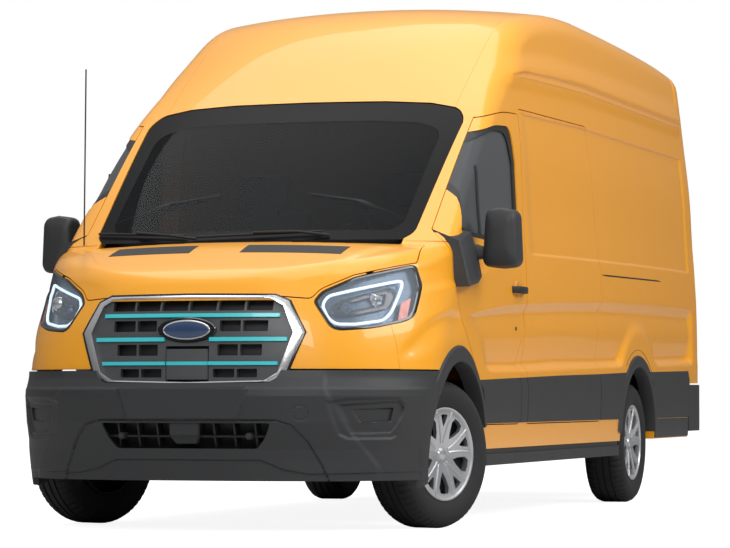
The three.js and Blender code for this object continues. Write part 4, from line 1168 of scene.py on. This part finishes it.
trim_outer = dense(
    whole_width(
        [(0, 1077), (396, 1073), (458, 1047), (532, 908), (460, 716), (392, 681), (0, 674)],
    ),
)
trim_inner = dense(
    whole_width(
        [(0, 1064), (382, 1059), (436, 1030), (490, 906), (428, 728), (368, 691), (0, 683)],
    ),
)
trim = ribbon("grille_trim", trim_outer, trim_inner, -9, 24)
hang(trim, "body", "gloss_black", looks=(bright_trim,))
rim_line = dense(
    whole_width(
        [(0, 1086), (398, 1082), (466, 1053), (545, 908), (470, 708), (396, 671), (0, 664)],
    ),
)
surround = ribbon("grille_surround", rim_line, trim_outer, -5, 20, 1.5)
hang(surround, "body", "gloss_black", looks=(gloss_black,))


def oval(name, cx, cz, rings):
    turn = np.linspace(0, 2 * math.pi, 48, endpoint=False)
    loops = [
        np.stack([cx + w * np.cos(turn), np.full(48, float(y)), cz + h * np.sin(turn)], -1)
        for w, h, y in rings
    ]
    return loft(name, loops)


badge_front = at(-948)
holder = oval("badge_holder", 0, 919, [
    (141, 58, badge_front + 45), (141, 58, badge_front + 2), (136, 53, badge_front - 5),
    (120, 46, badge_front - 5), (116, 43, badge_front + 2),
])
hang(holder, "body", "gloss_black", looks=(gloss_black,))
badge_rim = oval("badge_rim", 0, 919, [
    (115, 45, badge_front + 5), (115, 45, badge_front - 6), (112, 42, badge_front - 9),
    (107, 38, badge_front - 8), (106, 37, badge_front),
])
hang(badge_rim, "body", "gloss_black", looks=(bright_trim,))
badge = oval("badge_blank", 0, 919, [
    (107, 38, badge_front + 3), (106, 37, badge_front - 6), (90, 31, badge_front - 9),
    (50, 17, badge_front - 11), (4, 2, badge_front - 11.5),
])
hang(badge, "body", "gloss_black", looks=(badge_blue,))


# Charging flap. A plain satin door in the grille, hinged along its top edge.
def flap_y(x, _):
    return at(-950) + 6 * (np.abs(x) / 101) ** 2


flap = sheet("charge_flap_door", -100, 100, 695, 833, 0, 20, 16, 4, front=flap_y)
hang(flap, "charge_flap", "gloss_black", "charge_flap", looks=(slat_grey,))
flap_strip = sheet("flap_strip", -99, 99, 760, 776, -3, 4, 16, 2, front=flap_y)
hang(flap_strip, "charge_flap", "gloss_black", looks=(accent,))


# Headlamps. A clear lens over a dark housing, with a lit guide round its edge, two
# projectors, an amber marker at the outer end and a gloss black edge.
lit_white = finish("lit light guide", (0.75, 0.88, 1.0), 0.3, 500, 0.0)
lit_shader = next(n for n in lit_white.node_tree.nodes if n.type == "BSDF_PRINCIPLED")
lit_shader.inputs["Emission Color"].default_value = (0.72, 0.87, 1.0, 1)
lit_shader.inputs["Emission Strength"].default_value = 0.9
amber_lens = finish("amber marker lens", (0.75, 0.10, 0.02), 0.2, 400, 0.03, coat=0.6)
blue_grey = finish("blue grey reflector", (0.10, 0.14, 0.2), 0.28, 400, 0.03, metallic=0.5)
lamp_high = level([(560, 1046), (583, 1090), (704, 1157), (904, 1222), (932, 1140)])
lamp_low = level([(560, 1040), (648, 916), (800, 928), (930, 972), (932, 1130)])
lamp_edge = dense(outline(lamp_corners, 2), 3)
lamp_pieces = []
border = ribbon("lamp_border", inset(lamp_edge, 1), inset(lamp_edge, 11), 0, 70, 1.0)
lamp_pieces.append((border, "headlamp_border", gloss_black, "gloss_black", ()))
housing = sheet("lamp_housing", 566, 926, lamp_low, lamp_high, 62, 8, 40, 10)
lamp_pieces.append((housing, "headlamp_housing", blue_grey, "gloss_black", ()))
lens = sheet("lamp_lens", 564, 930, lamp_low, lamp_high, 2, 4, 48, 12)
lamp_pieces.append((lens, "headlamp_lens", clear_lens, "lamp_clear", ("headlight_{side}",)))


def on_nose(corners, back):
    line = np.array([c[:2] for c in corners], float)
    return np.stack([line[:, 0], nose_y(line[:, 0], line[:, 1]) + back, line[:, 1]], -1)


guide_line = outline([
    (868, 1150, 20), (753, 1116), (606, 1072, 20), (588, 1030, 20), (622, 968, 30), (655, 944, 20),
    (728, 944), (828, 962, 20), (850, 1000, 20), (866, 1088, 10),
], 4)
guide = cord("lamp_guide", on_nose(dense(guide_line, 2), 20), 7, 8, closed=True)
lamp_pieces.append((guide, "headlamp_guide", lit_white, "lamp_clear", ()))
core_line = outline([
    (612, 1015, 20), (640, 1050, 20), (830, 1120, 20), (846, 1082, 20), (832, 1018, 20),
    (712, 984), (640, 980, 20),
], 4)
core = ribbon("lamp_core", dense(core_line, 2), dense(inset(core_line, 26), 2), 34, 26, 4)
lamp_pieces.append((core, "headlamp_core", gloss_black, "gloss_black", ()))
for k, (x, z, radius) in enumerate(((668, 1014, 25), (770, 1052, 30))):
    y = float(nose_y(x, z)) + 30
    eye = turned(f"lamp_eye_{k}", [
        (0, 0), (radius * 0.5, 1.5), (radius * 0.8, 6), (radius * 0.86, 10), (radius, 4),
        (radius + 4, 8), (radius + 4, 34), (0, 34),
    ], (x, y, z), (0.25, 1, 0), 40)
    lamp_pieces.append(
        (eye, f"headlamp_eye_{k}", bright_trim if k else blue_grey, "lamp_clear", ()),
    )
marker = sheet(
    "lamp_marker", 878, 906, lambda x: 966 + 0 * x, lambda x: 1045 + (x - 878) * 0.9, 14, 6, 8,
    4,
)
lamp_pieces.append((marker, "headlamp_marker", amber_lens, "lamp_red", ()))
for piece, name, look, slot_name, nodes in lamp_pieces:
    on_both_sides(piece, name, "body", slot_name, *nodes, looks=(look,))


# Windscreen. One bonded sheet of laminated glass with a printed black border, deeper at
# the top where it is shaded.
def layer(cutter, way, thick, sink):
    # The outermost sheet of the skin inside a cutter, moved in by a little.
    made = carve(copy_of(shell, "layer"), cutter, "INTERSECT")
    below = copy_of(shell, "side_below")
    below.location = Vector(way) * thick * MM
    select_only(below)
    bpy.ops.object.transform_apply()
    carve(made, below)
    made.location = Vector(way) * sink * MM
    select_only(made)
    bpy.ops.object.transform_apply()
    return made


screen_clear = outline(whole_width([
    (0, 1992), (400, 1988), (640, 1974, 60), (752, 1926, 60), (742, 1440, 60), (696, 1404, 60),
    (0, 1406),
]))
INWARD = (0, 0.5, -0.86)
front_half = block(-FAR, FAR, at(-235), at(1000), 1300, 2200)
PANE_THICK = 6
PANE_SUNK = 3
pane = layer(
    prism(inset(screen_hole, 1), "y", at(-235), at(1200)), INWARD, PANE_THICK, PANE_SUNK
)
carve(pane, front_half, "INTERSECT")
border = copy_of(pane, "screen_border")
carve(border, prism(screen_clear, "y", at(-300), at(1300)))
carve(pane, prism(screen_clear, "y", at(-300), at(1300)), "INTERSECT")
border.name, pane.name = "windscreen_border", "windscreen_glass"
printed_black = glazing("printed black border", (0.006, 0.006, 0.007), 0.995, 0.3)
dress(border, printed_black, printed_black)
dress(pane, tinted_glass, tinted_glass)
hang(border, "body", "gloss_black")
hang(pane, "body", "glass", "windshield")


# Cab door glazing. Dark drop glass in a black rubber channel, with a slim division bar
# and a black moulded foot for the mirror.
side_glass = glazing("grey door glass", (0.09, 0.095, 0.1), 0.93, 0.08)
SIDEWAYS = (-1, 0, 0)
DOOR_SKIN_X = 885
seal = layer(prism(inset(window_line, 0.5), "x", DOOR_SKIN_X, FAR), SIDEWAYS, 12, 7)
glass_area = outline(along([
    (114, 1424, 20), (300, 1408), (1112, 1392, 30), (1108, 1800), (1040, 1946, 90),
    (800, 1944, 100), (570, 1890, 80), (322, 1730, 80),
]))
door_pane = layer(prism(inset(glass_area, -2), "x", DOOR_SKIN_X + 10, FAR), SIDEWAYS, 5, 16)
carve(seal, prism(glass_area, "x", 700, FAR))
on_both_sides(seal, "window_seal", "front_door_{side}", "black_plastic", looks=(black_plastic,))
on_both_sides(
    door_pane, "door_window", "front_door_{side}", "glass", "door_glass_{side}",
    looks=(side_glass,),
)
POST_S = 455
post_path = [(skin_x(POST_S, z, False) - 12, at(POST_S), z) for z in np.linspace(1404, 1740, 12)]
post = cord("window_post", post_path, 9, 8)
on_both_sides(post, "window_post", "front_door_{side}", "black_plastic", looks=(black_plastic,))
sail_line = [
    (-48, 1134), (150, 1158), (340, 1192), (322, 1268), (158, 1408), (96, 1600), (66, 1560),
    (-46, 1352),
]
lifts = [64, 54, 18, 14, 26, 8, 24, 60]
base = np.array([(skin_x(s, z, False) - 12, at(s), z) for s, z in sail_line])
top = base + np.array([(12 + lift, 0, 0) for lift in lifts])
crest = top + (top.mean(0) - top) * [0, 0.08, 0.08] + [4, 0, 0]
sail = loft("mirror_foot", [base, top, crest])
on_both_sides(sail, "mirror_foot", "front_door_{side}", "dark_plastic", looks=(dark_plastic,))


# Door mirrors. A tall grained housing on a short arm, with a silvered glass in its back.
def scaled(points, share):
    middle = (points.max(0) + points.min(0)) / 2
    return middle + (points - middle) * share


def head_rings(name, stations):
    # Rings of the mirror's outline, each at its place and share of full size.
    rings = []
    for s, share in stations:
        line = scaled(shape, share)
        rings.append(np.stack([line[:, 0], np.full(len(line), at(s)), line[:, 1]], -1))
    return loft(name, rings)


shape = outline(
    [
        (1054, 1240, 46), (1146, 1230), (1233, 1238, 56), (1222, 1508, 50), (1146, 1521),
        (1072, 1512, 44),
    ],
    6,
)
head = head_rings("mirror_head", (
    (199, 0.3), (202, 0.6), (208, 0.8), (220, 0.93), (242, 1.0), (322, 1.0), (338, 0.98),
    (342, 0.95), (342, 0.9), (336, 0.89),
))
on_both_sides(
    head, "mirror_head", "front_door_{side}", "dark_plastic", "mirror_{side}",
    looks=(dark_plastic,),
)
silver = head_rings("mirror_glass", ((335, 0.88), (339, 0.88), (340, 0.86)))
mirror_silver = finish(
    "silvered mirror", (0.8, 0.82, 0.84), 0.03, 300, 0.0, spread=0.0, metallic=1.0,
)
on_both_sides(silver, "mirror_glass", "front_door_{side}", "glass", looks=(mirror_silver,))
arm_shape = outline([(222, 1276, 20), (304, 1276, 20), (304, 1344, 20), (222, 1344, 20)], 4)
rings = []
for x, share, drop in (
    (990, 1.25, 0), (1018, 1.1, 0), (1040, 0.95, 2), (1066, 0.9, 4), (1092, 0.88, 6),
):
    line = scaled(arm_shape, share)
    rings.append(np.stack([np.full(len(line), float(x)), at(line[:, 0]), line[:, 1] - drop], -1))
arm = loft("mirror_arm", rings)
on_both_sides(arm, "mirror_arm", "front_door_{side}", "dark_plastic", looks=(dark_plastic,))


# Door furniture. Black pull handles over oval cups, round locks, and the sliding door's
# track cover along the load space.
def bar_on_side(name, stations, low, high):
    rings = []
    for s, near, far in stations:
        x = float(skin_x(s, (low + high) / 2))
        rings.append([
            (x + near, at(s), low), (x + far - 3, at(s), low), (x + far, at(s), low + 7),
            (x + far, at(s), high - 7), (x + far - 3, at(s), high), (x + near, at(s), high),
        ])
    return loft(name, rings)


pull = bar_on_side(
    "pull_handle",
    ((958, -4, 6), (976, 4, 22), (1000, 16, 38), (1130, 16, 38), (1156, 4, 24), (1176, -4, 8)),
    1136, 1170,
)
on_both_sides(pull, "pull_handle", "front_door_{side}", "black_plastic", looks=(black_plastic,))
cup_centre = (float(skin_x(1062, 1153)) + 2, at(1062), 1153)
turn = np.linspace(0, 2 * math.pi, 40, endpoint=False)
cup = loft("handle_cup", [
    np.stack([
        np.full(40, cup_centre[0] + lift), cup_centre[1] + w * np.cos(turn),
        cup_centre[2] + h * np.sin(turn),
    ], -1)
    for w, h, lift in ((44, 46, -8), (44, 46, 1.5), (40, 42, 1.5), (34, 36, -2), (4, 4, -5))
])
on_both_sides(cup, "handle_cup", "front_door_{side}", "paint", looks=(paint,))
lock = turned(
    "door_lock", [(0, 3), (9, 3), (11, 1), (11, -8), (0, -8)],
    (float(skin_x(1067, 958)), at(1067), 958), (1, 0.001, 0), 32,
)
on_both_sides(lock, "door_lock", "front_door_{side}", "black_plastic", looks=(black_plastic,))
rings = []
for s, low, high in (
    (2892, 1296, 1298), (3001, 1293, 1301), (4320, 1309, 1317), (4420, 1312, 1314),
):
    x = float(skin_x(s, (low + high) / 2))
    rings.append(
        [(x - 5, at(s), low), (x + 1.5, at(s), low), (x + 1.5, at(s), high), (x - 5, at(s), high)],
    )
track = loft("track_cover", rings)
on_both_sides(track, "track_cover", "body", "black_plastic", looks=(black_plastic,))


# Tail skirt. Dark plastic behind each rear wheel, carrying the rear bumper's foot forward
# below the cladding.
rings = []
for s in np.linspace(4206, 5146, 16):
    x = float(skin_x(s, 440, False))
    rings.append([
        (x - 14, at(s), 372), (x + 1, at(s), 370), (x + 5, at(s), 378), (x + 7, at(s), 484),
        (x - 14, at(s), 486),
    ])
skirt = loft("tail_skirt", rings)
on_both_sides(skirt, "tail_skirt", "body", "dark_plastic", looks=(dark_plastic,))


# Bonnet air slots and windscreen wipers. Black slotted inserts in the bonnet's rear edge,
# and two black wiper arms with rubber blades parked along the foot of the glass.
def bonnet_top(x, s):
    start = np.array([(float(x), at(s), 1100.0)])
    return float(meet(body_depth, start, np.array([(0, 0, 1.0)]), 500)[0, 2])


for name, x0, x1, back in (("left", 110, 600, -530), ("right", -550, -140, -530)):
    rings = []
    for x in np.linspace(x0, x1, 12):
        s0, s1 = back - 30 + 22 * (x / 700) ** 2, back + 100 + 40 * (x / 700) ** 2
        across = np.linspace(s0, s1, 7)
        tops = [(x, at(s), bonnet_top(x, s) + 1.5) for s in across]
        rings.append([(x, at(s0), tops[0][2] - 8), *tops, (x, at(s1), tops[-1][2] - 8)])
    slot = loft(f"bonnet_slot_{name}", rings)
    hang(slot, "bonnet", "black_plastic", looks=(black_plastic,))


def screen_point(x, z, lift):
    start = np.array([(float(x), at(1200), float(z))])
    y = meet(body_depth, start, np.array([(0, -1.0, 0)]), 1500)[0, 1]
    return (x, y - lift * 0.8, z + lift * 0.6)


for name, start, end, foot in (
    ("left", (380, 1392), (-240, 1372), (420, 1376)),
    ("right", (-300, 1380), (-800, 1402), (-240, 1366)),
):
    xs = np.linspace(start[0], end[0], 16)
    zs = np.linspace(start[1], end[1], 16)
    blade = cord(f"wiper_blade_{name}", [screen_point(x, z, 12) for x, z in zip(xs, zs)], 6, 8)
    arm_path = [
        screen_point(foot[0], foot[1], 6),
        screen_point(foot[0] * 0.6 + xs[8] * 0.4, foot[1] + 4, 30),
        screen_point(xs[8], zs[8], 24),
    ]
    holder = cord(f"wiper_arm_{name}", arm_path, 7, 8)
    for part in (blade, holder):
        hang(part, "body", "black_plastic", looks=(black_plastic,))


# Wheels. Blocky-shouldered tyres on silver covers with five forked spokes and dark
# pockets, over a black steel rim.
def wheel_place(thing, centre, heading):
    thing.rotation_euler = (0, 0, math.radians(heading))
    thing.location = Vector(centre) * MM
    select_only(thing)
    bpy.ops.object.transform_apply()


def tyre_mesh(name):
    steps = 240
    profile = [
        (218, -98), (250, -113), (288, -116), (318, -108), (336, -92, 7), (345, -72, 7),
        (347.5, -60, 7), (347.5, -46), (340, -44), (340, -36), (347.5, -34), (347.5, -6),
        (340, -4), (340, 4), (347.5, 6), (347.5, 34), (340, 36), (340, 44), (347.5, 46),
        (347.5, 60, 7), (345, 72, 7), (336, 92, 7), (318, 108), (312, 109.5), (309, 112),
        (288, 116), (250, 113), (222, 101), (214, 96), (208, 90), (208, -90), (218, -98),
    ]
    rows = []
    for k in range(steps + 1):
        a = 2 * math.pi * (k % steps) / steps
        row = []
        for r, h, *notch in profile:
            if notch and k % 4 == 0:
                r -= notch[0]
            row.append((h, r * math.cos(a), r * math.sin(a)))
        rows.append(row)
    return grid_object(name, np.array(rows), wrap=True)


def polar(corners, turn_by):
    turn = [math.radians(a + turn_by) for _, a in corners]
    return np.array([(r * math.cos(t), r * math.sin(t)) for (r, _), t in zip(corners, turn)])


def face_height(r):
    return level([(0, 78), (40, 78), (70, 84), (130, 92), (190, 98), (206, 97)])(r)


cover_profile = [(r, float(face_height(r))) for r in (0, 30, 50, 70, 100, 130, 160, 190, 202, 208)]
cover_profile += [(214, 103), (219, 104), (219, 96), (210, 60), (196, 60), (196, 80)]
cover_profile += [(r, float(face_height(r)) - 20) for r in (160, 130, 100, 70, 30, 0)]
cover = turned("wheel_cover", cover_profile, (0, 0, 0), (1, 0.0001, 0), 120)
for k in range(5):
    spoke_at = 90 + 72 * k
    wide = polar(
        [(84, 0), (112, 9), (160, 13), (186, 9), (188, 0), (186, -9), (160, -13), (112, -9)],
        spoke_at + 36,
    )
    carve(cover, prism(wide, "x", 40, 140))
    small = polar([(128, 0), (150, 4.5), (186, 8), (188, 0), (186, -8), (150, -4.5)], spoke_at)
    carve(cover, prism(small, "x", 40, 140))
ribs = []
for k in range(5):
    for a0, a1 in ((9, 16), (-9, -16)):
        path = []
        for r in np.linspace(52, 204, 9):
            a = math.radians(90 + 72 * k + a0 + (a1 - a0) * (r - 52) / 152)
            path.append((float(face_height(r)) + 0.5, r * math.cos(a), r * math.sin(a)))
        ribs.append(cord("rib", path, 4.5, 8))
cap = turned(
    "wheel_cap", [(0, 92), (14, 91), (26, 87), (31, 80), (31, 70), (0, 70)], (0, 0, 0),
    (1, 0.0001, 0), 48,
)
select_only(cover)
for rib in ribs + [cap]:
    rib.select_set(True)
bpy.ops.object.join()
backing = turned(
    "wheel_rim",
    [
        (0, 55), (60, 55), (120, 50), (190, 52), (204, 60), (212, 88), (208, 92), (206, -96),
        (196, -100), (190, 30), (0, 35),
    ],
    (0, 0, 0), (1, 0.0001, 0), 72,
)
tyre = tyre_mesh("tyre_master")
KINGPIN_X = 790
AXLE_REACH = 76
STEER_REST = 20.5
REAR_WHEEL_X = 871.5
turned_by = math.radians(-STEER_REST)
for side_name, k in (("left", 1), ("right", -1)):
    face = 0 if k > 0 else 180
    front_centre = (
        k * (KINGPIN_X + AXLE_REACH * math.cos(turned_by)),
        FRONT_AXLE + k * AXLE_REACH * math.sin(turned_by), AXLE_Z,
    )
    rear_centre = (k * REAR_WHEEL_X, REAR_AXLE, AXLE_Z)
    for end, centre, heading in (
        ("front", front_centre, face - STEER_REST), ("rear", rear_centre, face),
    ):
        body = f"wheel_{end}_{side_name}"
        for master, name, look, slot_name, nodes in (
            (tyre, "tyre_tread", tyre_rubber, "tyre", (f"tyre_{end}_{side_name}",)),
            (cover, "spoke_cover", rim_silver, "rim", (f"rim_{end}_{side_name}",)),
            (backing, "steel_rim", black_plastic, "rim", ()),
        ):
            made = copy_of(master, f"{name}_{end}_{side_name}")
            wheel_place(made, centre, heading)
            hang(made, body, slot_name, *nodes, looks=(look,))
discard(tyre, cover, backing)


# Tidying away. The cutters, stocks and skins that the pieces were trimmed from are
# removed.
TOOL_NAMES = (
    "cutter", "block", "Cylinder", "side", "door_stock", "body_shell", "lamp_cut", "inner_skin",
)
discard(*[
    o for o in bpy.data.objects
    if o.name.startswith(TOOL_NAMES) and o.type == "MESH" and "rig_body" not in o
])
